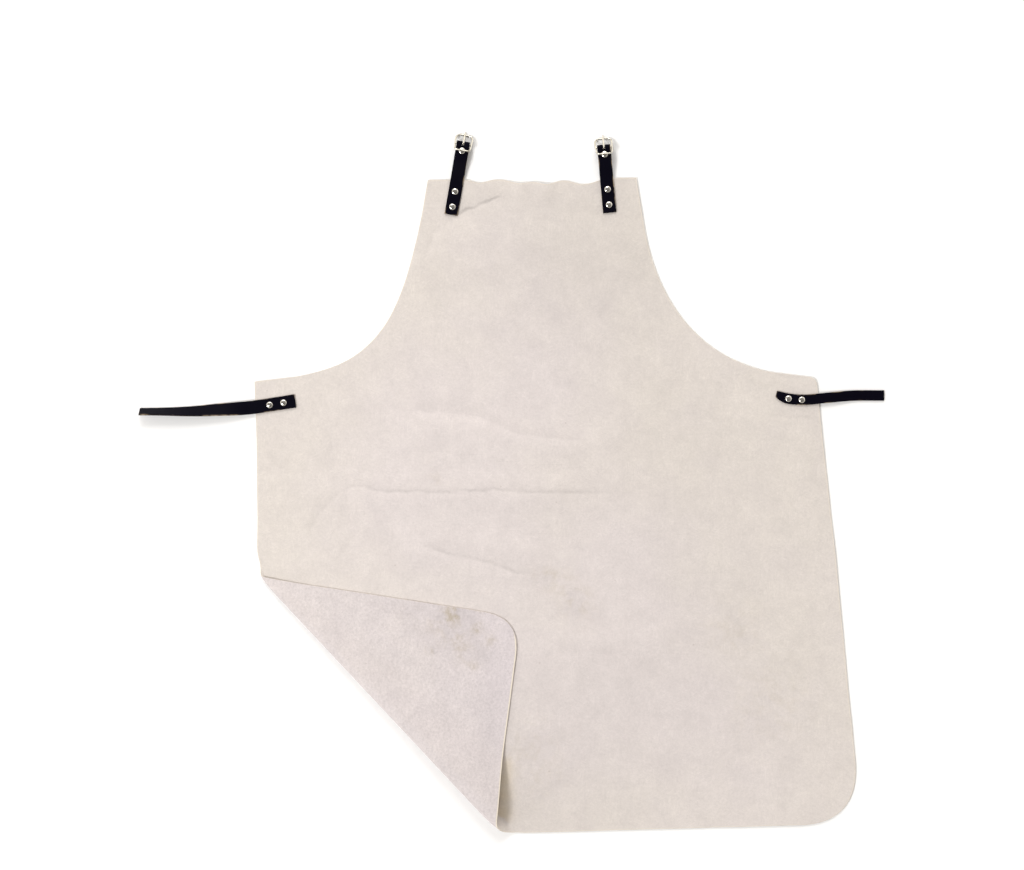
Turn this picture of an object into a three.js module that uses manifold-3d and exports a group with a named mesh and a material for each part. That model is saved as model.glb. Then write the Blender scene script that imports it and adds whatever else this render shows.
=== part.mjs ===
// Split leather welding apron, laid face up on a table with its lower left corner turned back.
// Millimetres. The table is z = 0, the bib points to +y, and the origin is the middle of the footprint.
import * as THREE from "three";
import { mergeVertices } from "three/addons/utils/BufferGeometryUtils.js";
import Module from "manifold-3d";

const wasm = await Module();
wasm.setup();

// Leather, clearances and the lift that the rivet bases give the panel
const PANEL_THICKNESS = 1.6;
const STRAP_THICKNESS = 2.2;
const GAP = 0.3;
const TABLE_GAP = 0.1;
const RIVET_LIFT = 1.4;
const STRAP_FLOOR = RIVET_LIFT + PANEL_THICKNESS + GAP;

// Cut of the panel, drawn flat: corners and the ends of the curved stretches
const at = (x, y) => new THREE.Vector2(x, y);
const CUT = {
  foldHem: at(5.5, -526.9),
  foldLeft: at(-383, -131),
  turnedCorner: at(-358, -541),
  hemRight: at(524, -519),
  sideRight: at(487, -112),
  waistLeft: at(-386, 150),
  waistRight: at(461, 155),
  armLeft: at(-323, 157),
  armRight: at(395, 163),
  bibSideLeft: at(-134, 405),
  bibSideRight: at(195, 401),
  bibLeft: at(-126, 452),
  bibRight: at(186, 455),
};
const HEM_CORNER_REACH = 94;
const TURNED_CORNER_REACH = 58;
const WAIST_CORNER_REACH = 10;
const LEFT_SIDE_BOW = 2.5;

// Armhole curves: how far the handles reach from the bib side and from the waist, and how they lean
const ARMHOLE = {
  left: { bibHandle: at(-30, -147), waistHandle: at(130, 22) },
  right: { bibHandle: at(17, -131), waistHandle: at(-110, 16) },
};

// Turned-back corner: a roll that is tighter towards the left side, then a slope down to where the flap lies
// on the panel
const ROLL_RADIUS = { hem: 16, left: 4.5 };
const ROLL_SLOPE = THREE.MathUtils.degToRad(19);
const LANDING_RADIUS = 100;
const FLAP_GAP = 0.5;
const FLAP_TIP_CUT = 1.5;

// Dips in the bib's top edge. Where the edge dips, the leather also ripples up off the table.
const BIB_DIPS = [
  { x: -48, dip: 4.5, spread: 16 },
  { x: 12, dip: 4.3, spread: 20 },
  { x: 54, dip: 5.5, spread: 20 },
  { x: 108, dip: 6.5, spread: 22 },
];
const BIB_DIP_DEPTH = 55;
const BIB_RIPPLE = 0.7;

// Soft folds left by storage: middle, direction in degrees, half length, half width and height
const FOLDS = [
  { x: -66, y: -14, turn: 0.5, reach: 210, width: 22, height: 4.0 },
  { x: -33, y: 66, turn: -9, reach: 140, width: 26, height: 5.0 },
  { x: -66, y: -92, turn: -10, reach: 105, width: 22, height: 3.5 },
  { x: 110, y: -250, turn: 4, reach: 130, width: 30, height: 3.0 },
  { x: 165, y: -130, turn: 90, reach: 290, width: 26, height: 1.4 },
  { x: -122, y: 350, turn: 62, reach: 40, width: 16, height: 3.0 },
];

// Shoulder tabs: place of the buckle's bar, lean in degrees, and reach from the bar down to the tab's end
// and to where the tab lies flat on the bib
const TAB_WIDTH = 20;
const TAB_RIVETS = [12, 35.2];
const TAB_TAIL = 18;
const BUCKLE_RIVET = 10.8;
const BAR_HEIGHT = 9.6;
const TABS = [
  { side: "left", x: -72.9, y: 505.5, lean: 9.9, reach: 107.4, bibReach: 58 },
  { side: "right", x: 137.5, y: 500.5, lean: -5.3, reach: 98.1, bibReach: 52 },
];

// Waist straps: the cut off the lower corner of the inner end, then rivets and the places where the strap
// leaves the panel and lands on the table, measured along it from its inner end, then the roll of its free
// end in degrees and its route seen from above
const CORNER_CUT_REACH = 20;
const WAIST_STRAPS = [
  {
    side: "left",
    width: 20,
    cornerCut: 0,
    rivets: [18, 39],
    leaves: 70,
    lands: 150,
    roll: 61,
    steps: 18,
    route: [
      { x: -324.6, y: 120.8 },
      { x: -394, y: 110.5 },
      { x: -440, y: 107.5 },
      { x: -481, y: 105.2 },
      { x: -558, y: 104.6 },
    ],
  },
  {
    side: "right",
    width: 15.5,
    cornerCut: 6.3,
    rivets: [19.5, 39.5],
    leaves: 76,
    lands: 135,
    roll: 0,
    steps: 14,
    route: [
      { x: 395.2, y: 128.4 },
      { x: 414, y: 124.2 },
      { x: 436, y: 122.4 },
      { x: 470, y: 125.2 },
      { x: 510, y: 128.7 },
      { x: 558, y: 129 },
    ],
  },
];

// Rivets, as radii and heights, and the buckle's wire, fold, slot, frame and tongue
const RIVET = {
  cap: 4.75,
  capHeight: 2,
  capRim: 0.6,
  shank: 1.8,
  hole: 2.1,
  holeLength: 30,
  base: 4.5,
  baseHeight: 0.8,
  domeAngles: [30, 60],
  sides: 10,
};
const WIRE = 1.25;
const FOLD_INNER = 1.6;
const LAYER_GAP = 0.3;
const SLOT = { width: 4.4, back: 6, front: 5, height: 7 };
const FRAME = {
  lower: 12.1,
  upper: 15.9,
  lowerHalf: 11.4,
  upperHalf: 13.2,
  round: 4.5,
  tilt: -30.8,
  sides: 8,
  steps: 18,
};
const TONGUE = { ring: 3.05, hole: 1.6, under: 1.45, length: 21.2, nose: 1, width: 2.6, segments: 8 };

// The panel is flat and lifted this far round a strap, and the lift fades out over the next stretch
const SEAT_FLAT = 45;
const SEAT_FADE = 60;

// Facets: columns across the panel, and rows along each stretch of the turned-back corner
const COLUMNS = 26;
const ROLL_STEPS = 11;
const SLOPE_STEPS = 3;
const LANDING_STEPS = 3;
const FLAP_STEPS = 8;
const TIP_CROWDING = 1.7;
const FOLD_LOW_SHARE = 0.22;
const WAIST_NEAR_SHARE = 0.4;
const TAB_STEPS = { rise: 8, spread: 4, turn: 10 };
const SLOPE_PROBE = 0.2;
const HALVINGS = 40;
const MERGE_DISTANCE = 1e-4;

// Colours and finishes
const SPLIT_LEATHER = { color: 0xe4dcd2, roughness: 0.95, metalness: 0 };
const BLACK_LEATHER = { color: 0x12111a, roughness: 0.6, metalness: 0 };
const NICKEL = { color: 0xc9c6bd, roughness: 0.25, metalness: 1 };

// Solids: a closed geometry to a solid that can be cut and joined, and back
function toSolid(geometry) {
  const bare = geometry.clone();
  bare.deleteAttribute("normal");
  bare.deleteAttribute("uv");
  const merged = mergeVertices(bare, MERGE_DISTANCE);
  return new wasm.Manifold(
    new wasm.Mesh({
      numProp: 3,
      vertProperties: new Float32Array(merged.attributes.position.array),
      triVerts: new Uint32Array(merged.index.array),
    }),
  );
}

function toGeometry(solid) {
  const mesh = solid.getMesh();
  return new THREE.BufferGeometry()
    .setAttribute("position", new THREE.BufferAttribute(mesh.vertProperties, 3))
    .setIndex(new THREE.BufferAttribute(mesh.triVerts, 1));
}

function cutAway(geometry, cutters) {
  return toGeometry(cutters.reduce((solid, cutter) => solid.subtract(toSolid(cutter)), toSolid(geometry)));
}

function named(name, geometry, finish) {
  const mesh = new THREE.Mesh(geometry, new THREE.MeshStandardMaterial(finish));
  mesh.name = name;
  return mesh;
}

// Upright hole through everything at x, y
function holeAt({ x, y }) {
  const cutter = new THREE.CylinderGeometry(RIVET.hole, RIVET.hole, RIVET.holeLength, RIVET.sides);
  return cutter.rotateX(Math.PI / 2).translate(x, y, 0);
}

// Straps in the panel's frame: the middle line of each waist strap, and where the straps lie on the panel
function waistPath({ route }) {
  return new THREE.CatmullRomCurve3(
    route.map(({ x, y }) => new THREE.Vector3(x, y, 0)),
    false,
    "centripetal",
  );
}

function waistRivets(strap) {
  const path = waistPath(strap);
  return strap.rivets.map((along) => path.getPointAt(along / path.getLength()));
}

function tabPoint({ x, y, lean }, along) {
  const turn = THREE.MathUtils.degToRad(lean);
  return new THREE.Vector3(x + along * Math.sin(turn), y + along * Math.cos(turn), 0);
}

function tabRivets(tab) {
  return TAB_RIVETS.map((fromEnd) => tabPoint(tab, fromEnd - tab.reach));
}

const PANEL_RIVETS = [...TABS.flatMap(tabRivets), ...WAIST_STRAPS.flatMap(waistRivets)];
const SEATS = [
  ...TABS.map((tab) => new THREE.Line3(tabPoint(tab, -tab.reach), tabPoint(tab, -tab.bibReach))),
  ...WAIST_STRAPS.map((strap) => {
    const path = waistPath(strap);
    return new THREE.Line3(path.getPointAt(0), path.getPointAt(strap.leaves / path.getLength()));
  }),
];

// 1 under a strap, where the panel is flat and lifted by the rivets, and 0 away from the straps
function seatShare(x, y) {
  const spot = new THREE.Vector3(x, y, 0);
  const nearest = new THREE.Vector3();
  const distance = Math.min(
    ...SEATS.map((seat) => seat.closestPointToPoint(spot, true, nearest).distanceTo(spot)),
  );
  return 1 - THREE.MathUtils.smoothstep(distance, SEAT_FLAT, SEAT_FLAT + SEAT_FADE);
}

const bell = (offset, spread) => Math.exp(-((offset / spread) ** 2));

function bibDip(x, y) {
  const nearTop = THREE.MathUtils.smoothstep(y, CUT.bibLeft.y - BIB_DIP_DEPTH, CUT.bibLeft.y);
  return nearTop * BIB_DIPS.reduce((sum, row) => sum + row.dip * bell(x - row.x, row.spread), 0);
}

function foldHeight(x, y) {
  return FOLDS.reduce((sum, fold) => {
    const offset = at(x - fold.x, y - fold.y).rotateAround(at(0, 0), -THREE.MathUtils.degToRad(fold.turn));
    return sum + fold.height * bell(offset.y, fold.width) * Math.exp(-((offset.x / fold.reach) ** 4));
  }, 0);
}

// Height of the panel's middle surface over the table
function panelHeight(x, y) {
  const seat = seatShare(x, y);
  const relief = foldHeight(x, y) + BIB_RIPPLE * bibDip(x, y);
  return PANEL_THICKNESS / 2 + seat * RIVET_LIFT + (1 - seat) * relief;
}

// Fold line, and the directions along it and out from the panel
const FOLD_LENGTH = CUT.foldLeft.distanceTo(CUT.foldHem);
const FOLD_ALONG = CUT.foldLeft.clone().sub(CUT.foldHem).normalize();
const FOLD_OUTWARD = at(-FOLD_ALONG.y, FOLD_ALONG.x);
const foldDepth = (flat) => flat.clone().sub(CUT.foldHem).dot(FOLD_OUTWARD);

function rollRadius(flat) {
  const share = flat.clone().sub(CUT.foldHem).dot(FOLD_ALONG) / FOLD_LENGTH;
  return THREE.MathUtils.lerp(ROLL_RADIUS.hem, ROLL_RADIUS.left, share);
}

// Ends of the roll, slope and landing as distances along the leather from the fold line
function turnEnds(radius) {
  const drop =
    radius * (1 + Math.cos(ROLL_SLOPE)) -
    LANDING_RADIUS * (1 - Math.cos(ROLL_SLOPE)) -
    (PANEL_THICKNESS + FLAP_GAP);
  const roll = radius * (Math.PI + ROLL_SLOPE);
  const slope = roll + drop / Math.sin(ROLL_SLOPE);
  return { roll, slope, landing: slope + LANDING_RADIUS * ROLL_SLOPE };
}

// How far out and how high the leather lies at a distance along it from the fold line
function turnBack(depth, radius) {
  const { roll, slope, landing } = turnEnds(radius);
  const onRoll = Math.min(depth, roll) / radius;
  const onSlope = THREE.MathUtils.clamp(depth - roll, 0, slope - roll);
  const onLanding = THREE.MathUtils.clamp(depth - slope, 0, landing - slope) / LANDING_RADIUS;
  const onPanel = Math.max(depth - landing, 0);
  const landingAngle = ROLL_SLOPE - onLanding;
  return {
    out:
      radius * Math.sin(onRoll) -
      onSlope * Math.cos(ROLL_SLOPE) -
      LANDING_RADIUS * (Math.sin(ROLL_SLOPE) - Math.sin(landingAngle)) -
      onPanel,
    up:
      radius * (1 - Math.cos(onRoll)) -
      onSlope * Math.sin(ROLL_SLOPE) -
      LANDING_RADIUS * (Math.cos(landingAngle) - Math.cos(ROLL_SLOPE)),
  };
}

// A tighter roll takes up less leather, so the flap leans towards the hem and keeps its size
function takenUp(radius) {
  const { landing } = turnEnds(radius);
  return landing + turnBack(landing, radius).out;
}
const FLAP_LEAN = (takenUp(ROLL_RADIUS.left) - takenUp(ROLL_RADIUS.hem)) / FOLD_LENGTH;

// Where a point of the flat cut lies on the table. The turned corner follows the panel under it.
function laidOut(flat) {
  const depth = foldDepth(flat);
  if (depth <= 0) {
    const { x, y } = flat;
    return new THREE.Vector3(x, y - bibDip(x, y), panelHeight(x, y));
  }
  const { out, up } = turnBack(depth, rollRadius(flat));
  const turned = flat.clone().addScaledVector(FOLD_OUTWARD, out - depth);
  const { x, y } = turned.addScaledVector(FOLD_ALONG, FLAP_LEAN * depth);
  return new THREE.Vector3(x, y, panelHeight(x, y) + up);
}

function laidOutNormal(flat) {
  const slope = (dx, dy) =>
    laidOut(at(flat.x + dx, flat.y + dy)).sub(laidOut(at(flat.x - dx, flat.y - dy)));
  return slope(SLOPE_PROBE, 0).cross(slope(0, SLOPE_PROBE)).normalize();
}

// Panel rows run from a stretch of the left edge to the matching stretch of the right edge, hem to bib
const line = (from, to) => new THREE.LineCurve(from, to);
const towards = (from, to, reach) => to.clone().sub(from).setLength(reach).add(from);

function roundCorner(before, corner, after, reach) {
  return new THREE.QuadraticBezierCurve(
    towards(corner, before, reach),
    corner,
    towards(corner, after, reach),
  );
}

function armhole(waist, bibSide, { bibHandle, waistHandle }) {
  return new THREE.CubicBezierCurve(
    waist,
    waist.clone().add(waistHandle),
    bibSide.clone().add(bibHandle),
    bibSide,
  );
}

function panelStretches() {
  const hemCorner = roundCorner(CUT.foldHem, CUT.hemRight, CUT.sideRight, HEM_CORNER_REACH);
  const waistCorner = roundCorner(CUT.sideRight, CUT.waistRight, CUT.armRight, WAIST_CORNER_REACH);
  const foldLow = CUT.foldHem.clone().lerp(CUT.foldLeft, FOLD_LOW_SHARE);
  const waistNear = CUT.waistLeft.clone().lerp(CUT.armLeft, WAIST_NEAR_SHARE);
  const leftSideMiddle = CUT.foldLeft.clone().lerp(CUT.waistLeft, 0.5).add(at(2 * LEFT_SIDE_BOW, 0));
  const leftSide = new THREE.QuadraticBezierCurve(CUT.foldLeft, leftSideMiddle, CUT.waistLeft);
  return [
    { left: line(CUT.foldHem, foldLow), right: hemCorner, rows: 6 },
    { left: line(foldLow, CUT.foldLeft), right: line(hemCorner.v2, CUT.sideRight), rows: 9 },
    { left: leftSide, right: line(CUT.sideRight, waistCorner.v0), rows: 8 },
    { left: line(CUT.waistLeft, waistNear), right: waistCorner, rows: 3 },
    { left: line(waistNear, CUT.armLeft), right: line(waistCorner.v2, CUT.armRight), rows: 2 },
    {
      left: armhole(CUT.armLeft, CUT.bibSideLeft, ARMHOLE.left),
      right: armhole(CUT.armRight, CUT.bibSideRight, ARMHOLE.right),
      rows: 10,
    },
    { left: line(CUT.bibSideLeft, CUT.bibLeft), right: line(CUT.bibSideRight, CUT.bibRight), rows: 3 },
  ];
}

function panelEnds() {
  const ends = [];
  for (const { left, right, rows } of panelStretches()) {
    const first = ends.length ? 1 : 0;
    for (let row = first; row <= rows; row++) {
      ends.push({ left: left.getPoint(row / rows), right: right.getPoint(row / rows) });
    }
  }
  return ends;
}

// Point of an edge of the turned corner that lies at a given distance from the fold line
function edgePointAt(edge, depth) {
  let low = 0;
  let high = 1;
  for (let pass = 0; pass < HALVINGS; pass++) {
    const middle = (low + high) / 2;
    if (foldDepth(edge.getPoint(middle)) < depth) low = middle;
    else high = middle;
  }
  return edge.getPoint(low);
}

// Left and hem edges of the turned corner, each from the fold line to the tip, where the corner is deepest
function turnedEdges() {
  const { foldLeft, foldHem, turnedCorner } = CUT;
  const round = roundCorner(foldLeft, turnedCorner, foldHem, TURNED_CORNER_REACH);
  const [start, middle, end] = [round.v0, round.v1, round.v2].map(foldDepth);
  const tipShare = (start - middle) / (start - 2 * middle + end);
  const tip = round.getPoint(tipShare);
  const edge = (from, bend, share) => {
    const handle = bend.clone().lerp(round.v1, share);
    const path = new THREE.CurvePath();
    path.add(line(from, bend));
    path.add(new THREE.QuadraticBezierCurve(bend, handle, tip));
    return path;
  };
  return {
    left: edge(foldLeft, round.v0, tipShare),
    hem: edge(foldHem, round.v2, 1 - tipShare),
    depth: foldDepth(tip) - FLAP_TIP_CUT,
  };
}

function turnedDepths(deepest, radius) {
  const spread = (from, to, steps, crowding = 1) =>
    Array.from({ length: steps }, (_, step) => {
      const left = 1 - (step + 1) / steps;
      return to + (from - to) * left ** crowding;
    });
  const { roll, slope, landing } = turnEnds(radius);
  return [
    ...spread(0, roll, ROLL_STEPS),
    ...spread(roll, slope, SLOPE_STEPS),
    ...spread(slope, landing, LANDING_STEPS),
    ...spread(landing, deepest, FLAP_STEPS, TIP_CROWDING),
  ];
}

// Flat sheet of the cut as points and triangles, the rows of the turned corner joined on at the fold line
function panelSheet() {
  const points = [];
  const triangles = [];
  const addPoint = (flat) => points.push(flat) - 1;
  const fill = (grid) => {
    for (let row = 1; row < grid.length; row++) {
      for (let column = 1; column < grid[row].length; column++) {
        const [a, b] = [grid[row - 1][column - 1], grid[row - 1][column]];
        const [c, d] = [grid[row][column], grid[row][column - 1]];
        triangles.push([a, b, c], [a, c, d]);
      }
    }
  };

  const ends = panelEnds();
  const panel = ends.map(({ left, right }) =>
    Array.from({ length: COLUMNS + 1 }, (_, column) => addPoint(left.clone().lerp(right, column / COLUMNS))),
  );
  fill(panel);

  const foldSteps = ends.findIndex(({ left }) => left.equals(CUT.foldLeft));
  const foldRow = panel.slice(0, foldSteps + 1).map((row) => row[0]);
  const shares = foldRow.map((index) => points[index].distanceTo(CUT.foldHem) / FOLD_LENGTH);
  const edges = turnedEdges();
  const leftDepths = turnedDepths(edges.depth, ROLL_RADIUS.left);
  const turned = turnedDepths(edges.depth, ROLL_RADIUS.hem).map((hemDepth, row) => {
    const hemPoint = edgePointAt(edges.hem, hemDepth);
    const leftPoint = edgePointAt(edges.left, leftDepths[row]);
    return shares.map((share) => addPoint(hemPoint.clone().lerp(leftPoint, share)));
  });
  fill([foldRow, ...turned]);
  return { points, triangles };
}

// Closed wall of the given thickness about a sheet, with a rim along its open edges
function thicken({ points, triangles }, thickness) {
  const count = points.length;
  const position = [];
  for (const side of [0.5, -0.5]) {
    for (const flat of points) {
      position.push(...laidOut(flat).addScaledVector(laidOutNormal(flat), side * thickness));
    }
  }
  const index = [];
  const edges = new Set();
  for (const [a, b, c] of triangles) {
    index.push(a, b, c, c + count, b + count, a + count);
    for (const [from, to] of [[a, b], [b, c], [c, a]]) edges.add(`${from},${to}`);
  }
  for (const edge of edges) {
    const [from, to] = edge.split(",").map(Number);
    if (edges.has(`${to},${from}`)) continue;
    index.push(to, from, from + count, to, from + count, to + count);
  }
  return new THREE.BufferGeometry()
    .setAttribute("position", new THREE.Float32BufferAttribute(position, 3))
    .setIndex(index);
}

function panel() {
  const wall = thicken(panelSheet(), PANEL_THICKNESS);
  return named("panel", cutAway(wall, PANEL_RIVETS.map(holeAt)), SPLIT_LEATHER);
}

// Waist strap: a flat strap that leaves the panel, drops to the table and may roll on to its edge
function waistStrap(strap) {
  const { side, width, cornerCut, steps, leaves, lands, roll } = strap;
  const path = waistPath(strap);
  const length = path.getLength();
  const position = [];
  for (let step = 0; step <= steps; step++) {
    const share = step / steps;
    const along = share * length;
    const loose = THREE.MathUtils.clamp((along - leaves) / (length - leaves), 0, 1);
    const turn = THREE.MathUtils.degToRad(roll) * Math.sin((loose * Math.PI) / 2);
    const drop = THREE.MathUtils.smoothstep(along, leaves, lands);
    const heading = path.getTangentAt(share);
    const across = new THREE.Vector3(0, 0, 1).cross(heading).normalize().applyAxisAngle(heading, turn);
    const up = heading.clone().cross(across);
    const middle = path.getPointAt(share);
    middle.z =
      THREE.MathUtils.lerp(STRAP_FLOOR, TABLE_GAP, drop) +
      (width / 2) * Math.sin(turn) +
      (STRAP_THICKNESS / 2) * Math.cos(turn);
    const cut = cornerCut * Math.max(1 - along / CORNER_CUT_REACH, 0) ** 2;
    const edges = [cut - width / 2, width / 2];
    for (const [a, b] of [[0, -1], [1, -1], [1, 1], [0, 1]]) {
      const corner = middle.clone().addScaledVector(across, edges[a]);
      position.push(...corner.addScaledVector(up, (b * STRAP_THICKNESS) / 2));
    }
  }
  const index = [0, 2, 1, 0, 3, 2];
  for (let step = 0; step < steps; step++) {
    for (let corner = 0; corner < 4; corner++) {
      const [a, b] = [4 * step + corner, 4 * step + ((corner + 1) % 4)];
      index.push(a, b + 4, a + 4, a, b, b + 4);
    }
  }
  const last = 4 * steps;
  index.push(last, last + 1, last + 2, last, last + 2, last + 3);
  const geometry = new THREE.BufferGeometry()
    .setAttribute("position", new THREE.Float32BufferAttribute(position, 3))
    .setIndex(index);
  return named(`waist_strap_${side}`, cutAway(geometry, waistRivets(strap).map(holeAt)), BLACK_LEATHER);
}

// Outline seen from the side, given a width along x about the middle
function sideProfile(outline, width, curveSegments) {
  const sideways = new THREE.Matrix4().makeBasis(
    new THREE.Vector3(0, 1, 0),
    new THREE.Vector3(0, 0, 1),
    new THREE.Vector3(1, 0, 0),
  );
  const solid = new THREE.ExtrudeGeometry(outline, { depth: width, bevelEnabled: false, curveSegments });
  return solid.applyMatrix4(sideways).translate(-width / 2, 0, 0);
}

// Middle line of a shoulder tab seen from the side: along the bib, up to the buckle, round its bar and back
function tabMiddleLine({ reach, bibReach }) {
  const onBib = STRAP_FLOOR + STRAP_THICKNESS / 2 - BAR_HEIGHT;
  const onRivet = (STRAP_THICKNESS + LAYER_GAP) / 2;
  const onFold = FOLD_INNER + STRAP_THICKNESS / 2;
  const rise = (from, to, low, high, steps) =>
    Array.from({ length: steps + 1 }, (_, step) => {
      const share = step / steps;
      return at(from + (to - from) * share, low + (high - low) * THREE.MathUtils.smootherstep(share, 0, 1));
    });
  const turn = Array.from({ length: TAB_STEPS.turn - 1 }, (_, step) => {
    const angle = Math.PI / 2 - (Math.PI * (step + 1)) / TAB_STEPS.turn;
    return at(onFold * Math.cos(angle), onFold * Math.sin(angle));
  });
  return [
    at(-reach, onBib),
    ...rise(-bibReach, -TAB_TAIL, onBib, onRivet, TAB_STEPS.rise),
    ...rise(-SLOT.back, 0, onRivet, onFold, TAB_STEPS.spread),
    ...turn,
    ...rise(0, -SLOT.back, -onFold, -onRivet, TAB_STEPS.spread),
    at(-TAB_TAIL, -onRivet),
  ];
}

function shoulderTab(tab) {
  const middle = tabMiddleLine(tab);
  const offset = (side) =>
    middle.map((spot, index) => {
      const before = middle[Math.max(index - 1, 0)];
      const after = middle[Math.min(index + 1, middle.length - 1)];
      const along = after.clone().sub(before).normalize();
      return at(spot.x - along.y * side, spot.y + along.x * side);
    });
  const half = STRAP_THICKNESS / 2;
  const outline = new THREE.Shape([...offset(-half), ...offset(half).reverse()]);
  const strap = sideProfile(outline, TAB_WIDTH);
  const slot = new THREE.BoxGeometry(SLOT.width, SLOT.back + SLOT.front, 2 * SLOT.height);
  slot.translate(0, (SLOT.front - SLOT.back) / 2, 0);
  const holes = [...TAB_RIVETS.map((fromEnd) => fromEnd - tab.reach), -BUCKLE_RIVET];
  const cutters = [slot, ...holes.map((y) => holeAt({ x: 0, y }))];
  return named(`shoulder_tab_${tab.side}`, cutAway(strap, cutters), BLACK_LEATHER);
}

// Rivet: flat base, shank through the leather and domed cap, centred on the middle of what it grips
function rivet(name, grip) {
  const half = grip / 2 + GAP;
  const rim = half + RIVET.capRim;
  const dome = RIVET.domeAngles.map((degrees) => {
    const angle = THREE.MathUtils.degToRad(degrees);
    return at(RIVET.cap * Math.cos(angle), rim + (RIVET.capHeight - RIVET.capRim) * Math.sin(angle));
  });
  const profile = [
    at(0, -half - RIVET.baseHeight),
    at(RIVET.base, -half - RIVET.baseHeight),
    at(RIVET.base, -half),
    at(RIVET.shank, -half),
    at(RIVET.shank, half),
    at(RIVET.cap, half),
    at(RIVET.cap, rim),
    ...dome,
    at(0, half + RIVET.capHeight),
  ];
  const geometry = new THREE.LatheGeometry(profile, RIVET.sides).rotateX(Math.PI / 2);
  return named(name, toGeometry(toSolid(geometry)), NICKEL);
}

// Centre-bar buckle frame, flat in its own plane with the bar along x: two bent wires that meet at the bar
function bentWire(half, far, barHalf) {
  const flat = (x, y) => new THREE.Vector3(x, y, 0);
  const end = (side) => at(side * barHalf, 0);
  const corner = (side) => at(side * half, far);
  const bends = [
    roundCorner(end(-1), corner(-1), corner(1), FRAME.round),
    roundCorner(corner(-1), corner(1), end(1), FRAME.round),
  ].map(({ v0, v1, v2 }) =>
    new THREE.QuadraticBezierCurve3(flat(v0.x, v0.y), flat(v1.x, v1.y), flat(v2.x, v2.y)),
  );
  const path = new THREE.CurvePath();
  path.add(new THREE.LineCurve3(flat(-barHalf, 0), bends[0].v0));
  path.add(bends[0]);
  path.add(new THREE.LineCurve3(bends[0].v2, bends[1].v0));
  path.add(bends[1]);
  path.add(new THREE.LineCurve3(bends[1].v2, flat(barHalf, 0)));
  const section = new THREE.Shape(new THREE.EllipseCurve(0, 0, WIRE, WIRE).getPoints(FRAME.sides).slice(1));
  return new THREE.ExtrudeGeometry(section, { steps: FRAME.steps, bevelEnabled: false, extrudePath: path });
}

function buckleFrame(name) {
  const { lower, upper, lowerHalf, upperHalf, sides } = FRAME;
  const barHalf = lowerHalf + ((upperHalf - lowerHalf) * lower) / (lower + upper);
  const bar = new THREE.CylinderGeometry(WIRE, WIRE, 2 * barHalf + WIRE, sides).rotateZ(Math.PI / 2);
  const wires = [bentWire(lowerHalf, -lower, barHalf), bentWire(upperHalf, upper, barHalf)];
  const frame = wires.reduce((solid, wire) => solid.add(toSolid(wire)), toSolid(bar));
  return named(name, toGeometry(frame), NICKEL);
}

// Tongue: a ring on the bar with an arm that lies over the frame's upper end
function buckleTongue(name) {
  const { ring, hole, under, length, nose, width, segments } = TONGUE;
  const rootAngle = Math.asin(under / ring);
  const side = new THREE.Shape()
    .moveTo(ring * Math.cos(rootAngle), under)
    .lineTo(length - nose / 2, under)
    .lineTo(length, under + nose / 2)
    .lineTo(length - nose, ring)
    .lineTo(0, ring)
    .absarc(0, 0, ring, Math.PI / 2, 2 * Math.PI + rootAngle, false);
  side.holes.push(new THREE.Path().absarc(0, 0, hole, 0, 2 * Math.PI, false));
  return named(name, toGeometry(toSolid(sideProfile(side, width, segments))), NICKEL);
}

function placed(object, x, y, z) {
  object.position.set(x, y, z);
  return object;
}

// Shoulder tab with its rivets and buckle, in a group whose origin is the middle of the buckle's bar
function shoulderAssembly(tab) {
  const group = placed(new THREE.Group(), tab.x, tab.y, BAR_HEIGHT);
  group.rotation.z = -THREE.MathUtils.degToRad(tab.lean);
  const seatMiddle = RIVET_LIFT + (STRAP_FLOOR - RIVET_LIFT + STRAP_THICKNESS) / 2 - BAR_HEIGHT;
  const bibGrip = STRAP_FLOOR - RIVET_LIFT + STRAP_THICKNESS;
  group.add(shoulderTab(tab));
  TAB_RIVETS.forEach((fromEnd, index) => {
    const name = `tab_rivet_${tab.side}_${index + 1}`;
    group.add(placed(rivet(name, bibGrip), 0, fromEnd - tab.reach, seatMiddle));
  });
  group.add(
    placed(rivet(`buckle_rivet_${tab.side}`, 2 * STRAP_THICKNESS + LAYER_GAP), 0, -BUCKLE_RIVET, 0),
  );
  const buckle = new THREE.Group();
  buckle.rotation.x = THREE.MathUtils.degToRad(FRAME.tilt);
  buckle.add(buckleFrame(`buckle_frame_${tab.side}`), buckleTongue(`buckle_tongue_${tab.side}`));
  group.add(buckle);
  return group;
}

function waistAssembly(strap) {
  const group = new THREE.Group();
  const grip = STRAP_FLOOR - RIVET_LIFT + STRAP_THICKNESS;
  group.add(waistStrap(strap));
  waistRivets(strap).forEach((spot, index) => {
    const name = `waist_rivet_${strap.side}_${index + 1}`;
    group.add(placed(rivet(name, grip), spot.x, spot.y, RIVET_LIFT + grip / 2));
  });
  return group;
}

const apron = new THREE.Group();
apron.name = "welding_apron";
apron.add(panel(), ...TABS.map(shoulderAssembly), ...WAIST_STRAPS.map(waistAssembly));

export default apron;
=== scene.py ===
"""Looks of a split leather welding apron that lies face up, with its lower left corner turned back.

The panel is one sheet of leather, laid out from its flat cut. Straps, rivets and buckles sit where the
frame has them. Tables are in millimetres, as the flat cut is drawn, and every mesh is in metres.
"""

import math

import bpy
import numpy as np
from bpy.props import FloatProperty, FloatVectorProperty, IntProperty, PointerProperty
from mathutils import Matrix, Vector, kdtree, noise


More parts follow.
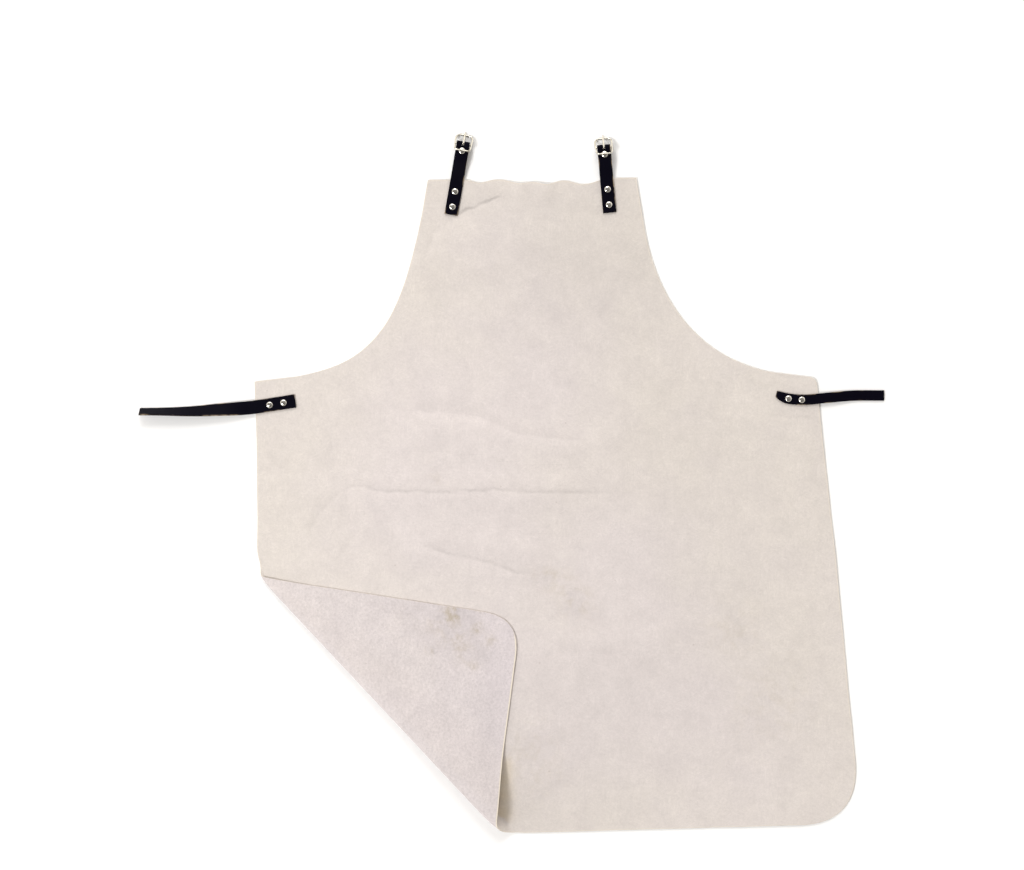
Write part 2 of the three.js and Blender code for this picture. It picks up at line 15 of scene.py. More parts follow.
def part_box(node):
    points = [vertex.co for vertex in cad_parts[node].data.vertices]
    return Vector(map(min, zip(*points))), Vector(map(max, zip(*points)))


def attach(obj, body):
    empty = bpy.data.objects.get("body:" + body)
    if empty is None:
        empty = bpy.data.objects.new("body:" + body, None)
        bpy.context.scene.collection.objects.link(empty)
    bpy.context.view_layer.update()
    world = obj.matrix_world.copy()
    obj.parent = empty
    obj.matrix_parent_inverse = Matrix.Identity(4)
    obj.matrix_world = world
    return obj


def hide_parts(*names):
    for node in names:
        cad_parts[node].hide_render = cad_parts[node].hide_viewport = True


bl_info = {
    "name": "Split Leather Welding Apron",
    "version": (1, 0, 0),
    "blender": (4, 5, 0),
    "location": "3D View > Sidebar > Apron",
    "description": "Dresses the apron's frame with leather, straps, rivets and buckles",
    "category": "Object",
}

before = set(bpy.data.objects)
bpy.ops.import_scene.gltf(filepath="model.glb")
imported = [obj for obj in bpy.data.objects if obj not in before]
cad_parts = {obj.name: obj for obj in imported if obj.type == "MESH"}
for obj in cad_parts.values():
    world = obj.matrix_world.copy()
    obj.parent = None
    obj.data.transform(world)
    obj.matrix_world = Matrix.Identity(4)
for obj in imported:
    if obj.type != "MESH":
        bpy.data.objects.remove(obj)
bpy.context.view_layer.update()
MM = 0.001

# Cut of the panel, drawn flat: corners and the ends of the curved stretches
FOLD_HEM, FOLD_LEFT, TURNED_TIP = np.array([(5.5, -526.9), (-383, -131), (-358, -541)], float)
HEM_RIGHT, SIDE_RIGHT, WAIST_RIGHT = np.array([(523, -512.5), (485, -112), (456, 155)], float)
WAIST_LEFT, ARM_LEFT, ARM_RIGHT = np.array([(-386, 150), (-323, 157), (395, 163)], float)
BIB_SIDE_LEFT, BIB_SIDE_RIGHT = np.array([(-134, 405), (195, 401)], float)
BIB_LEFT, BIB_RIGHT = np.array([(-126, 452), (186, 455)], float)
ARM_LEFT_PULLS, ARM_RIGHT_PULLS = ((130, 22), (-30, -147)), ((-110, 16), (17, -131))
HEM_ROUND, TURNED_ROUND, WAIST_ROUND = 94.0, 58.0, 10.0
LEFT_SIDE_BOW = 2.5
FOLD_LOW_SHARE, WAIST_NEAR_SHARE = 0.22, 0.4
FOLD_LENGTH = np.linalg.norm(FOLD_LEFT - FOLD_HEM)
ALONG = (FOLD_LEFT - FOLD_HEM) / FOLD_LENGTH
OUTWARD = np.array([-ALONG[1], ALONG[0]])

# Rows of faces: up the panel's stretches, round the corner's roll, slope and landing, and over its flat
STRETCH_ROWS = (30, 56, 52, 5, 5, 48, 12)
TURN_ROWS, FLAP_ROWS, FLAP_CROWDING = (18, 12, 10), 59, 1.9
# Points along edges and routes: on the turned corner, between a route's places, and to find a seat or a rivet
CORNER_STEPS, ROUTE_STEPS, SEAT_STEPS, RIVET_STEPS = 200, 60, 200, 400

# Turned-back corner: a roll, tighter towards the left side, then a slope down to where it lies on the panel
ROLL_HEM, ROLL_LEFT = 16.0, 4.5
ROLL_SLOPE = math.radians(19)
LANDING_RADIUS = 100.0
FLAP_GAP = 0.5
FLAP_LIFTS = (90.0, 170.0)
EDGE_CURL = 14.0
FLAP_TIP_CUT = 0.1
# Corners where the edge goes round the roll curl inwards: place on the flat cut, reach, shift in x and y
CURLED_CORNERS = ((-383, -131, 18, 6, 2), (-13, -528, 24, 6, 2))
# The roll is pinched flat near the left side: strength, reach from the edge, where along the fold it starts
PINCH, PINCH_REACH, PINCHED_ALONG = 0.75, 26.0, (0.7, 0.97)
# The cut is pale on the turned hem and soiled on the turned left side
PALE_ALONG, SOILED_EDGE = (-352.0, -318.0), 3.0

# Heights: the panel's wall, and the lift that the rivet bases give it under the straps
WALL = 1.6
RIVET_LIFT = 1.4
STRAP_WALL, STRAP_GAP = 2.2, 0.3
STRAP_FLOOR = RIVET_LIFT + WALL + STRAP_GAP
TABLE_GAP = 0.1
SEAT_FLAT, SEAT_FADE = 45.0, 60.0

# Lie of the leather, from smooth noise: the size of its patches and its seed, and how much each counts
WANDERS = ((62, 3.5), (62, 8.5))
BROAD_SWELL, SMALL_SWELL, EDGE_CURLS, RIM_FIBRES = (150, 1.5), (58, 6.5), (90, 4.5), (4, 2.5)
SWELL_MIDDLE, BROAD_SHARE, SMALL_SHARE = 0.5, 0.36, 0.24
RIM_BULGE, RIM_ROUGH = 0.25, 0.1

# Dips in the bib's top edge: x, dip, spread
BIB_DIPS = ((-48, 5.2, 16), (12, 6.3, 20), (52, 8.2, 19), (107, 8.6, 24))
BIB_DIP_DEPTH, BIB_RIPPLE = 55.0, 0.5

# Soft folds left by storage: middle x and y, direction in degrees, half length, half width, height
FOLDS = (
    (-66, -14, 0.5, 210, 22, 4.0),
    (-33, 66, -9, 140, 26, 5.0),
    (-66, -92, -10, 105, 22, 3.5),
    (110, -250, 4, 130, 30, 3.0),
    (165, -130, 90, 290, 26, 0.7),
    (-122, 350, 62, 40, 16, 3.0),
)
# A fold falls away more gently on the side towards the hem
FOLD_LEE = 2.2

# Crease lines pressed into the leather: strength of the painted shade on the line, of the painted shade above
# it and painted light below it, ridge height, and the points that it runs through
CREASES = (
    (0.85, 1.1, 0.8, ((-258, -17), (-240, -7), (-217, -10), (-184, -16), (-138, -14), (-115, -17),
                      (-81, -15), (-27, -12), (26, -16), (122, -17), (150, -16))),
    (0.35, 1.0, 0.7, ((-306, -80), (-299, -65), (-283, -42), (-268, -25), (-255, -14))),
    (0.1, 0.7, 0.5, ((-253, -107), (-244, -94), (-236, -81))),
    (0.85, 0.8, 0.5, ((-140, -92), (-123, -97), (-100, -107), (-55, -116), (-33, -120), (-10, -131),
                      (12, -137), (48, -141))),
    (0.15, 1.1, 0.6, ((-157, 105), (-97, 104), (-50, 97), (-23, 86), (4, 72), (58, 65), (112, 62))),
    (0.1, 0.5, 0.4, ((64, -254), (110, -258), (160, -260))),
    (2.1, 1.1, 0.8, ((-80, 400), (-66, 409), (-54, 412), (-42, 418), (-30, 423), (-14, 428))),
    (0.4, 0.6, 0.6, ((-132, 334), (-127, 352), (-119, 368), (-105, 389))),
    (0.3, 0.3, 0.4, ((108, 408), (132, 398), (141, 383))),
    (0.4, 0.3, 0.4, ((384, 97), (402, 99), (414, 96), (432, 97), (460, 95))),
    (0.4, 0.2, 0.3, ((396, 160), (408, 158), (420, 157), (434, 156))),
    (0.1, 0.5, 0.5, ((-372, 40), (-352, 22), (-330, 14), (-300, 16))),
    (0.0, 0.15, 0.2, ((162, 180), (165, 60), (163, -60), (166, -180), (164, -300), (168, -440))),
)
# A crease fades in and out along its length, and its ridge lies a little above the line
CREASE_IN, CREASE_OUT = (-0.02, 0.09), (-0.02, 0.16)
RIDGE_SHIFT, RIDGE_SPREAD, FAR = 2.5, 7.0, 99.0

# Patches of colour: x, y, spread, strength. Soil is on the turned-back corner and on the face
FLAP_SOIL = ((-84, -193, 14, 1.0), (-108, -206, 15, 0.75), (-91, -209, 15, 0.7), (-68, -202, 11, 0.6),
             (-49, -192, 7, 0.5), (-53, -219, 9, 0.9), (-88, -236, 20, 0.6), (-30, -238, 10, 0.6),
             (-47, -258, 11, 0.6), (-68, -258, 18, 0.4), (-120, -254, 7, 0.9), (-59, -276, 7, 0.7),
             (-150, -205, 36, 0.15))
FACE_SOIL = ((56, -140, 20, 0.45), (90, -165, 24, 0.35), (98, -190, 22, 0.3), (-116, 4, 10, 0.3),
             (330, -220, 40, 0.25), (20, -420, 60, 0.25), (390, -330, 60, 0.2))
# Broad patches where the face is darker: the hide's uneven tone together with painted shade where the light
# is weaker
DARK_TONE_AND_SHADE_PATCHES = ((150, 330, 120, 1.0), (40, 300, 110, 0.5), (60, -470, 150, 1.0), (230, 60, 110, 0.5),
                 (270, -340, 130, 0.45), (90, -260, 120, 0.4), (290, -130, 110, 0.4))
# Painted warm shade inside the fold's pocket, where the turned corner shades the panel
POCKET_SHADE_PATCHES = ((-8, -425, 11, 0.5), (-13, -447, 13, 0.65), (-15, -470, 14, 0.7), (-15, -497, 14, 0.7))
# Greyer, cooler patches of the face
COOL_PATCHES = ((40, 180, 130, 0.9), (-150, 60, 130, 0.8), (-80, -80, 130, 0.9), (70, -330, 160, 0.9),
                (270, -320, 130, 0.7), (160, -120, 120, 0.7), (360, -470, 90, 0.5), (-40, 380, 60, 0.4))
# Finishes of the hide: how pale its rim is, contrast of its mottling, fibres and speckle of its nap
HIDE_FACE = {"soil_name": "face_soil", "rim": 0.25, "contrast": 1.3, "fibres": 1.9, "speckle": 1.9}
HIDE_REVERSE = {"soil_name": "flap_soil", "rim": 0.85, "contrast": 1.7, "fibres": 0.8, "speckle": 3.6}
# How much the darker patches of tone and painted shade, soil and specks show, scale and size of the specks,
# depth of a crease beside the nap's
DUSK, SOIL_COVER, SPECK_COVER, SPECK_SCALE, SPECK_SIZE, CREASE_DEPTH = 0.065, 0.75, 0.28, 42.0, 0.055, 1.4
# Flat coordinates of the cut are moved so that none is below zero
FLAT_SHIFT = 600

# Shoulder tabs: the buckle's bar, lean in degrees, reach down to the end and to the bib
TABS = {
    "left": {"x": -72.9, "y": 505.5, "lean": 9.9, "reach": 107.4, "bib_reach": 58.0},
    "right": {"x": 137.5, "y": 500.5, "lean": -5.3, "reach": 98.1, "bib_reach": 52.0},
}
TAB_TAIL, TAB_RIVETS, BUCKLE_RIVET, BAR_HEIGHT = 18.0, (12.0, 35.2), 10.8, 9.6
FOLD_INNER, LAYER_GAP = 1.6, 0.3
# Rows of a tab on the bib, up from it, along the rivet and round the fold
BIB_ROWS, RISE_ROWS, FLAT_ROWS, FOLD_ROWS = 24, 20, 6, 25
# Points across a tab, the columns that the tongue's slot opens, its reach back and its closed last rows
TAB_COLUMNS = (-10, -8.6, -5.6, -1.6, -0.7, 0.7, 1.6, 5.6, 8.6, 10)
SLOT_COLUMNS, SLOT_BACK, SLOT_CLOSED = slice(3, 6), 6.0, 5
# The last rows of a tab are its tail, under the buckle's rivet
TAIL_ROWS = 14
DIMPLE, DIMPLE_REACH = 0.2, 6.0

# Waist straps: width, corner cut, rivets, where it leaves the panel and lands, roll and route
WAIST_STRAPS = {
    "left": {
        "width": 20.0, "corner_cut": 0.0, "rivets": (18.0, 39.0), "leaves": 70.0, "lands": 150.0,
        "roll": 61.0,
        "route": ((-324.6, 120.8), (-394, 110.5), (-440, 107.5), (-481, 105.2), (-558, 104.6)),
    },
    "right": {
        "width": 15.5, "corner_cut": 6.3, "rivets": (19.5, 39.5), "leaves": 76.0, "lands": 135.0,
        "roll": 0.0,
        "route": ((395.2, 128.4), (414, 124.2), (436, 122.4), (470, 125.2), (510, 128.7), (558, 129)),
    },
}
CORNER_CUT_REACH, STRAP_COLUMNS, STRAP_STEP = 20.0, 9, 2.2
# Finishes of strap leather: how rubbed and rough it is, and the depth of its grain
STRAP_FACE = {"rub": 0.5, "roughness": 0.5, "depth": 0.5}
STRAP_CUT = {"rub": 1.0, "roughness": 0.75, "depth": 0.9}
# Edges of a strap sharper than this are rounded
SHARP_EDGE, ROUND_STEPS = math.radians(50), 3

# Buckle: reach and half width of the lower and upper windows, tilt at rest, ease of the corners and bar ends
FRAME_LOWER, FRAME_UPPER, FRAME_TILT = (-12.1, 11.4), (15.9, 13.2), -30.8
CORNER_EASE = (1, 1, 1.6, 1.6, 1, 1)
BEND_STEPS, WIRE_SIDES = 12, 18
# Tongue: its ring round the bar and where that ends, its arm, and the reach and size of its dip and taper
TONGUE_RING, TONGUE_CURL, TONGUE_LENGTH, TONGUE_TIP = 2.325, 2.28 * math.pi, 21.2, 1.0
TONGUE_DIP, TONGUE_TAPER, TAPER_POWER, BLUNT_SIZE, BLUNT_REACH = (6, 0.5), (9, 0.42), 1.5, 0.55, 0.5
ARM_STEPS, CURL_STEPS, TONGUE_SIDES = 22, 26, 16
# Rivets: faces of a button, its steep wall and round foot, and shares of the base's and shank's height
BUTTON_SEGMENTS, BUTTON_RINGS, WALL_STEEP, FOOT_ROUND = 32, 16, 0.72, 0.28
BASE_RIM, BASE_DOME, SHANK_SIDES, SHANK_MIDDLE, SHANK_LONG = 0.8, 0.2, 16, 0.45, 0.8

# Share of dull tarnish on the nickel
RIVET_DULL, WIRE_DULL = 0.05, 0.45

# Lights: place and size, in metres. The sky changes between two heights, and between two places along Y
LIGHTS = {"key": ((-3.2, -2.0, 4.5), (1.5, 1.5)), "window": ((-0.4, 4.2, 3.8), (2.6, 1.8))}
SKY_HEIGHTS, SKY_SIDES = (0.15, 0.95), (-0.6, 0.6)

RIVETS = sorted(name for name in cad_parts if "rivet" in name)


def smoothstep(value, low, high):
    share = np.clip((value - low) / (high - low), 0, 1)
    return share * share * (3 - 2 * share)


def bell(offset, spread):
    return np.exp(-((offset / spread) ** 2))


def drift(x, y, patch):
    """Smooth noise from -1 to 1 over patches of a size, with a seed."""
    size, seed = patch
    return np.array([noise.noise(Vector((a / size, b / size, seed))) for a, b in zip(x, y)])


def to_segments(x, y, line):
    """Signed distance from points to a line of straight pieces, plus on its left, and the share along it."""
    line = np.asarray(line, float)
    lengths = np.linalg.norm(np.diff(line, axis=0), axis=1)
    best = np.full(len(x), np.inf)
    signed, along = np.zeros(len(x)), np.zeros(len(x))
    for start, end, before, length in zip(line, line[1:], np.cumsum(lengths) - lengths, lengths):
        run = (end - start) / length
        dx, dy = x - start[0], y - start[1]
        share = np.clip(dx * run[0] + dy * run[1], 0, length)
        away = np.hypot(dx - share * run[0], dy - share * run[1])
        side = np.where(run[0] * dy - run[1] * dx >= 0, 1, -1)
        nearer = away < best
        best = np.where(nearer, away, best)
        signed = np.where(nearer, side * away, signed)
        along = np.where(nearer, (before + share) / lengths.sum(), along)
    return signed, along


def route_points(route, count):
    """Points at even spacing along a smooth route, and its length. The curve is a centripetal spline."""
    points = np.asarray(route, float)
    points = np.vstack([2 * points[0] - points[1], points, 2 * points[-1] - points[-2]])
    t = np.linspace(0, 1, ROUTE_STEPS, endpoint=False)[:, None]
    fine = []
    for a, b, c, d in zip(points, points[1:], points[2:], points[3:]):
        ab, bc, cd = (np.sqrt(np.linalg.norm(v)) for v in (b - a, c - b, d - c))
        out = ((b - a) / ab - (c - a) / (ab + bc) + (c - b) / bc) * bc
        into = ((c - b) / bc - (d - b) / (bc + cd) + (d - c) / cd) * bc
        fine.append(b + out * t + (3 * (c - b) - 2 * out - into) * t**2 + (2 * (b - c) + out + into) * t**3)
    fine = np.vstack([*fine, points[-2:-1]])
    marks = np.concatenate([[0], np.cumsum(np.linalg.norm(np.diff(fine, axis=0), axis=1))])
    even = np.linspace(0, marks[-1], count)
    return np.column_stack([np.interp(even, marks, column) for column in fine.T]), marks[-1]


def route_spot(route, along, count):
    """The nearest of a number of points along a route to a distance along it."""
    points, length = route_points(route, count)
    return points[round((count - 1) * along / length)]


def tab_point(tab, along):
    lean = math.radians(tab["lean"])
    return tab["x"] + along * math.sin(lean), tab["y"] + along * math.cos(lean)


# Lines on the panel that the straps lie on
SEATS = [
    *((tab_point(tab, -tab["reach"]), tab_point(tab, -tab["bib_reach"])) for tab in TABS.values()),
    *(
        (strap["route"][0], route_spot(strap["route"], strap["leaves"], SEAT_STEPS))
        for strap in WAIST_STRAPS.values()
    ),
]


def seat_share(x, y):
    """1 under a strap, where the panel is flat and lifted by the rivets, and 0 away from the straps."""
    near = np.min([np.abs(to_segments(x, y, seat)[0]) for seat in SEATS], axis=0)
    return 1 - smoothstep(near, SEAT_FLAT, SEAT_FLAT + SEAT_FADE)


def bib_dip(x, y):
    near_top = smoothstep(y, BIB_LEFT[1] - BIB_DIP_DEPTH, BIB_LEFT[1])
    return near_top * sum(dip * bell(x - middle, spread) for middle, dip, spread in BIB_DIPS)


def fold_height(x, y):
    total = np.zeros(len(x))
    for middle_x, middle_y, turn, reach, width, height in FOLDS:
        run, rise = math.cos(math.radians(turn)), math.sin(math.radians(turn))
        along = (x - middle_x) * run + (y - middle_y) * rise
        across = (y - middle_y) * run - (x - middle_x) * rise
        spread = np.where(across > 0, width, FOLD_LEE * width)
        total += height * bell(across, spread) * np.exp(-((along / reach) ** 4))
    return total


def creases_at(x, y):
    """Signed distance to the nearest crease, the strengths of its line's painted shade and of its bank's
    painted shade and light there, and the ridges' height.
    """
    offset, ridge = np.full(len(x), FAR), np.zeros(len(x))
    line, bank = np.zeros(len(x)), np.zeros(len(x))
    for line_share, bank_share, height, points in CREASES:
        signed, along = to_segments(x, y, points)
        ends = smoothstep(along, *CREASE_IN) * smoothstep(1 - along, *CREASE_OUT)
        ridge += height * ends * bell(signed - RIDGE_SHIFT, RIDGE_SPREAD)
        nearer = np.abs(signed) < np.abs(offset)
        offset = np.where(nearer, signed, offset)
        line = np.where(nearer, line_share * ends, line)
        bank = np.where(nearer, bank_share * ends, bank)
    return offset, line, bank, ridge


def patch_share(x, y, spots):
    total = sum(strength * bell(np.hypot(x - a, y - b), spread) for a, b, spread, strength in spots)
    return np.clip(total, 0, 1)


def fold_depth(flat):
    return (flat - FOLD_HEM) @ OUTWARD


def turn_ends(radius):
    """Ends of the roll, slope and landing as distances along the leather from the fold line."""
    bend = math.cos(ROLL_SLOPE)
    drop = radius * (1 + bend) - LANDING_RADIUS * (1 - bend) - WALL - FLAP_GAP
    roll = radius * (math.pi + ROLL_SLOPE)
    slope = roll + drop / math.sin(ROLL_SLOPE)
    return roll, slope, slope + LANDING_RADIUS * ROLL_SLOPE


def turn_back(depth, radius):
    """How far out and how high the leather lies at a distance along it from the fold line."""
    roll, slope, landing = turn_ends(radius)
    on_roll = np.clip(depth, 0, roll) / radius
    on_slope = np.clip(depth - roll, 0, slope - roll)
    angle = ROLL_SLOPE - np.clip(depth - slope, 0, landing - slope) / LANDING_RADIUS
    run, rise = math.cos(ROLL_SLOPE), math.sin(ROLL_SLOPE)
    out = radius * np.sin(on_roll) - on_slope * run - LANDING_RADIUS * (rise - np.sin(angle))
    up = radius * (1 - np.cos(on_roll)) - on_slope * rise - LANDING_RADIUS * (np.cos(angle) - run)
    return out - np.maximum(depth - landing, 0), up


def taken_up(radius):
    landing = turn_ends(radius)[2]
    return landing + turn_back(landing, radius)[0]


# A tighter roll takes up less leather, so the flap leans towards the hem and keeps its size
FLAP_LEAN = (taken_up(ROLL_LEFT) - taken_up(ROLL_HEM)) / FOLD_LENGTH


def laid_out(flat, edge, leather):
    """Where points of the flat cut, at distances from its edge, lie on the floor. All is in millimetres."""
    flat = flat + leather.edge_wander / MM * np.column_stack([drift(*flat.T, patch) for patch in WANDERS])
    depth = fold_depth(flat)
    turned = depth > 0
    along = np.clip((flat - FOLD_HEM) @ ALONG / FOLD_LENGTH, 0, 1)
    out, up = turn_back(depth, ROLL_HEM + (ROLL_LEFT - ROLL_HEM) * along)
    pinch = PINCH * bell(edge, PINCH_REACH) * smoothstep(along, *PINCHED_ALONG)
    up -= pinch * np.maximum(up - WALL - FLAP_GAP, 0)
    shift = (out - depth)[:, None] * OUTWARD + (FLAP_LEAN * depth)[:, None] * ALONG
    x, y = np.where(turned[:, None], flat + shift, flat).T
    for corner_x, corner_y, reach, shift_x, shift_y in CURLED_CORNERS:
        near = bell(np.hypot(flat[:, 0] - corner_x, flat[:, 1] - corner_y), reach)
        x, y = x + shift_x * near, y + shift_y * near
    seat, dip = seat_share(x, y), bib_dip(x, y)
    swell = SWELL_MIDDLE + BROAD_SHARE * drift(x, y, BROAD_SWELL) + SMALL_SHARE * drift(x, y, SMALL_SWELL)
    relief = fold_height(x, y) + BIB_RIPPLE * dip + leather.swell / MM * np.clip(swell, 0, 1)
    relief += leather.crease_height * creases_at(x, y)[3]
    relief += leather.edge_lift / MM * bell(edge, EDGE_CURL) * np.clip(drift(x, y, EDGE_CURLS), 0, 1)
    hem_side = smoothstep(flat[:, 0], *PALE_ALONG)
    up += leather.flap_lift / MM * bell(edge, EDGE_CURL) * smoothstep(depth, *FLAP_LIFTS) * hem_side
    height = WALL / 2 + seat * RIVET_LIFT + (1 - seat) * relief
    return np.column_stack([x, y - np.where(turned, 0, dip), height + np.where(turned, up, 0)])


def bezier(handles, share):
    """Points on a curve with two or more handles, at shares of the way along it."""
    points = [np.asarray(handle, float)[None] for handle in handles]
    while len(points) > 1:
        points = [a + (b - a) * share[:, None] for a, b in zip(points, points[1:])]
    return points[0]


def rounded(before, corner, after, reach):
    """The three handles of a rounded corner."""
    ways = (before - corner, after - corner)
    start, end = (corner + way / np.linalg.norm(way) * reach for way in ways)
    return start, corner, end


def panel_sides():
    """Points up the panel's left and right edges, from hem to bib. The left edge starts along the fold."""
    hem = rounded(FOLD_HEM, HEM_RIGHT, SIDE_RIGHT, HEM_ROUND)
    waist = rounded(SIDE_RIGHT, WAIST_RIGHT, ARM_RIGHT, WAIST_ROUND)
    fold_low = FOLD_HEM + (FOLD_LEFT - FOLD_HEM) * FOLD_LOW_SHARE
    waist_near = WAIST_LEFT + (ARM_LEFT - WAIST_LEFT) * WAIST_NEAR_SHARE
    bow = (FOLD_LEFT + WAIST_LEFT) / 2 + (2 * LEFT_SIDE_BOW, 0)

    def arm(waist_end, bib_end, pulls):
        return waist_end, waist_end + pulls[0], bib_end + pulls[1], bib_end

    stretches = (
        ((FOLD_HEM, fold_low), hem),
        ((fold_low, FOLD_LEFT), (hem[2], SIDE_RIGHT)),
        ((FOLD_LEFT, bow, WAIST_LEFT), (SIDE_RIGHT, waist[0])),
        ((WAIST_LEFT, waist_near), waist),
        ((waist_near, ARM_LEFT), (waist[2], ARM_RIGHT)),
        (arm(ARM_LEFT, BIB_SIDE_LEFT, ARM_LEFT_PULLS), arm(ARM_RIGHT, BIB_SIDE_RIGHT, ARM_RIGHT_PULLS)),
        ((BIB_SIDE_LEFT, BIB_LEFT), (BIB_SIDE_RIGHT, BIB_RIGHT)),
    )
    sides = [[FOLD_HEM], [hem[0]]]
    for rows, pair in zip(STRETCH_ROWS, stretches):
        share = np.linspace(0, 1, rows + 1)[1:]
        for side, handles in zip(sides, pair):
            side.append(bezier(handles, share))
    return [np.vstack(side) for side in sides]


def turned_edges():
    """Points along the turned corner's hem and left edges, from the fold line to its tip, and its depth."""
    handles = rounded(FOLD_LEFT, TURNED_TIP, FOLD_HEM, TURNED_ROUND)
    start, middle, end = (fold_depth(handle) for handle in handles)
    tip_share = (start - middle) / (start - 2 * middle + end)
    share = np.linspace(0, 1, CORNER_STEPS)
    left = np.vstack([bezier((FOLD_LEFT, handles[0]), share), bezier(handles, share * tip_share)])
    hem = np.vstack([bezier((FOLD_HEM, handles[2]), share), bezier(handles, 1 - share * (1 - tip_share))])
    return hem, left, fold_depth(left[-1]) - FLAP_TIP_CUT


def numbered(grid, first=0):
    return first + np.arange(grid.shape[0] * grid.shape[1]).reshape(grid.shape[:2])


def quads(numbers):
    """Four-sided faces between the points of a grid."""
    corners = (numbers[:-1, :-1], numbers[:-1, 1:], numbers[1:, 1:], numbers[1:, :-1])
    return np.stack(corners, -1).reshape(-1, 4)


def panel_grid(columns):
    """Flat points of the panel's sheet and its faces, with the turned corner joined on at the fold line."""
    left, right = (side[:, None] for side in panel_sides())
    body = left + (right - left) * np.linspace(0, 1, columns + 1)[None, :, None]
    fold_rows = sum(STRETCH_ROWS[:2]) + 1
    shares = np.linalg.norm(body[:fold_rows, 0] - FOLD_HEM, axis=1) / FOLD_LENGTH
    *edges, deepest = turned_edges()
    ends = []
    for edge, radius in zip(edges, (ROLL_HEM, ROLL_LEFT)):
        marks = (0, *turn_ends(radius))
        depths = [np.linspace(a, b, rows + 1)[1:] for a, b, rows in zip(marks, marks[1:], TURN_ROWS)]
        rest = np.linspace(1, 0, FLAP_ROWS + 1)[1:] ** FLAP_CROWDING
        depths = np.concatenate([*depths, deepest + (marks[-1] - deepest) * rest])
        ends.append(np.column_stack([np.interp(depths, fold_depth(edge), column) for column in edge.T]))
    turned = ends[0][:, None] + (ends[1] - ends[0])[:, None] * shares[None, :, None]
    numbers = numbered(body)
    flap = np.vstack([numbers[:fold_rows, 0], numbered(turned, numbers.size)])
    return np.vstack([body.reshape(-1, 2), turned.reshape(-1, 2)]), np.vstack([quads(numbers), quads(flap)])


def rim_edges(faces):
    """Edges that only one face has, in the direction that the face runs along them."""
    edges = np.vstack([faces[:, [side, (side + 1) % 4]] for side in range(4)])
    there = set(map(tuple, edges))
    return np.array([(a, b) for a, b in edges if (b, a) not in there])


def rim_distance(flat, rim_points):
    """Distance of every point of the flat cut from its rim."""
    rim = kdtree.KDTree(len(rim_points))
    for number, (x, y) in enumerate(flat[rim_points]):
        rim.insert((x, y, 0), number)
    rim.balance()
    return np.array([rim.find((x, y, 0))[2] for x, y in flat])


def mesh_from(name, points, faces=(), edges=()):
    mesh = bpy.data.meshes.new(name)
    mesh.from_pydata(np.asarray(points).tolist(), edges, [list(map(int, face)) for face in faces])
    mesh.update()
    return mesh


def walled(middle, faces, rim, rim_points, bulge):
    """Points and faces of a sheet with a wall of leather and a bulging rim, from its middle surface."""
    count = len(middle)
    sheet = mesh_from("sheet", middle, faces)
    normals = np.zeros(count * 3, np.float32)
    sheet.vertex_normals.foreach_get("vector", normals)
    normals = normals.reshape(-1, 3)
    bpy.data.meshes.remove(sheet)
    a, b = rim.T
    side = np.cross(middle[b] - middle[a], normals[a])
    outward = np.zeros((count, 3))
    np.add.at(outward, a, side)
    np.add.at(outward, b, side)
    outward = outward[rim_points]
    outward /= np.maximum(np.linalg.norm(outward, axis=1), 1e-12)[:, None]
    half = normals * (WALL / 2 * MM)
    points = np.vstack([middle + half, middle - half, middle[rim_points] + outward * (bulge * MM)[:, None]])
    number = np.full(count, -1)
    number[rim_points] = 2 * count + np.arange(len(rim_points))
    upper = np.column_stack([b, a, number[a], number[b]])
    lower = np.column_stack([number[b], number[a], a + count, b + count])
    return points, np.vstack([faces, faces[:, ::-1] + count, upper, lower])


def in_scene(name, data):
    made = bpy.data.objects.new(name, data)
    bpy.context.scene.collection.objects.link(made)
    return made


def sharpen(mesh, pairs):
    """Keeps the shading of the faces on either side of some edges apart."""
    ends = np.zeros(2 * len(mesh.edges), np.int32)
    mesh.edges.foreach_get("vertices", ends)
    edges, sharp = (np.sort(side, axis=1) @ (len(mesh.vertices), 1) for side in (ends.reshape(-1, 2), pairs))
    mesh.attributes.new("sharp_edge", "BOOLEAN", "EDGE").data.foreach_set("value", np.isin(edges, sharp))


def piece_from(name, mesh, body, slot, *replaced):
    """Puts a finished mesh in the scene as a piece that stands for CAD nodes and rides on their body."""
    piece = in_scene(name, mesh)
    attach(piece, body)
    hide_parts(*replaced)
    return piece


def finished_mesh(source):
    """The mesh of an object with its modifiers applied, as a plain mesh. The source is removed."""
    graph = bpy.context.evaluated_depsgraph_get()
    made = bpy.data.meshes.new_from_object(source.evaluated_get(graph), depsgraph=graph)
    bpy.data.objects.remove(source)
    return made


def point_values(mesh, name, values):
    attribute = mesh.attributes.new(name, "FLOAT", "POINT")
    attribute.data.foreach_set("value", np.asarray(values, np.float32))


class Value:
    """An output of a node that can be reckoned with: each step adds a Math node to its tree."""

    def __init__(self, socket):
        self.socket, self.tree = socket, socket.id_data

    def math(self, operation, *others, clamp=False):
        values = dict(enumerate((self, *others)))
        return node(self.tree, "ShaderNodeMath", values, operation=operation, use_clamp=clamp)[0]

    def __add__(self, other):
        return self.math("ADD", other)

    def __sub__(self, other):
        return self.math("SUBTRACT", other)

    def __mul__(self, other):
        return self.math("MULTIPLY", other)


def fill(made, values):
    """Sets inputs of a node, or links them where the value comes from another node."""
    for key, value in values.items():
        if isinstance(value, Value):
            value.tree.links.new(value.socket, made.inputs[key])
        else:
            made.inputs[key].default_value = value


def node(tree, kind, values=None, **settings):
    """Adds a node: its outputs, by number and by name."""
    made = tree.nodes.new(kind)
    for key, setting in settings.items():
        setattr(made, key, setting)
    fill(made, values or {})
    outputs = {socket.name: Value(socket) for socket in reversed(made.outputs)}
    return {**outputs, **dict(enumerate(map(Value, made.outputs)))}


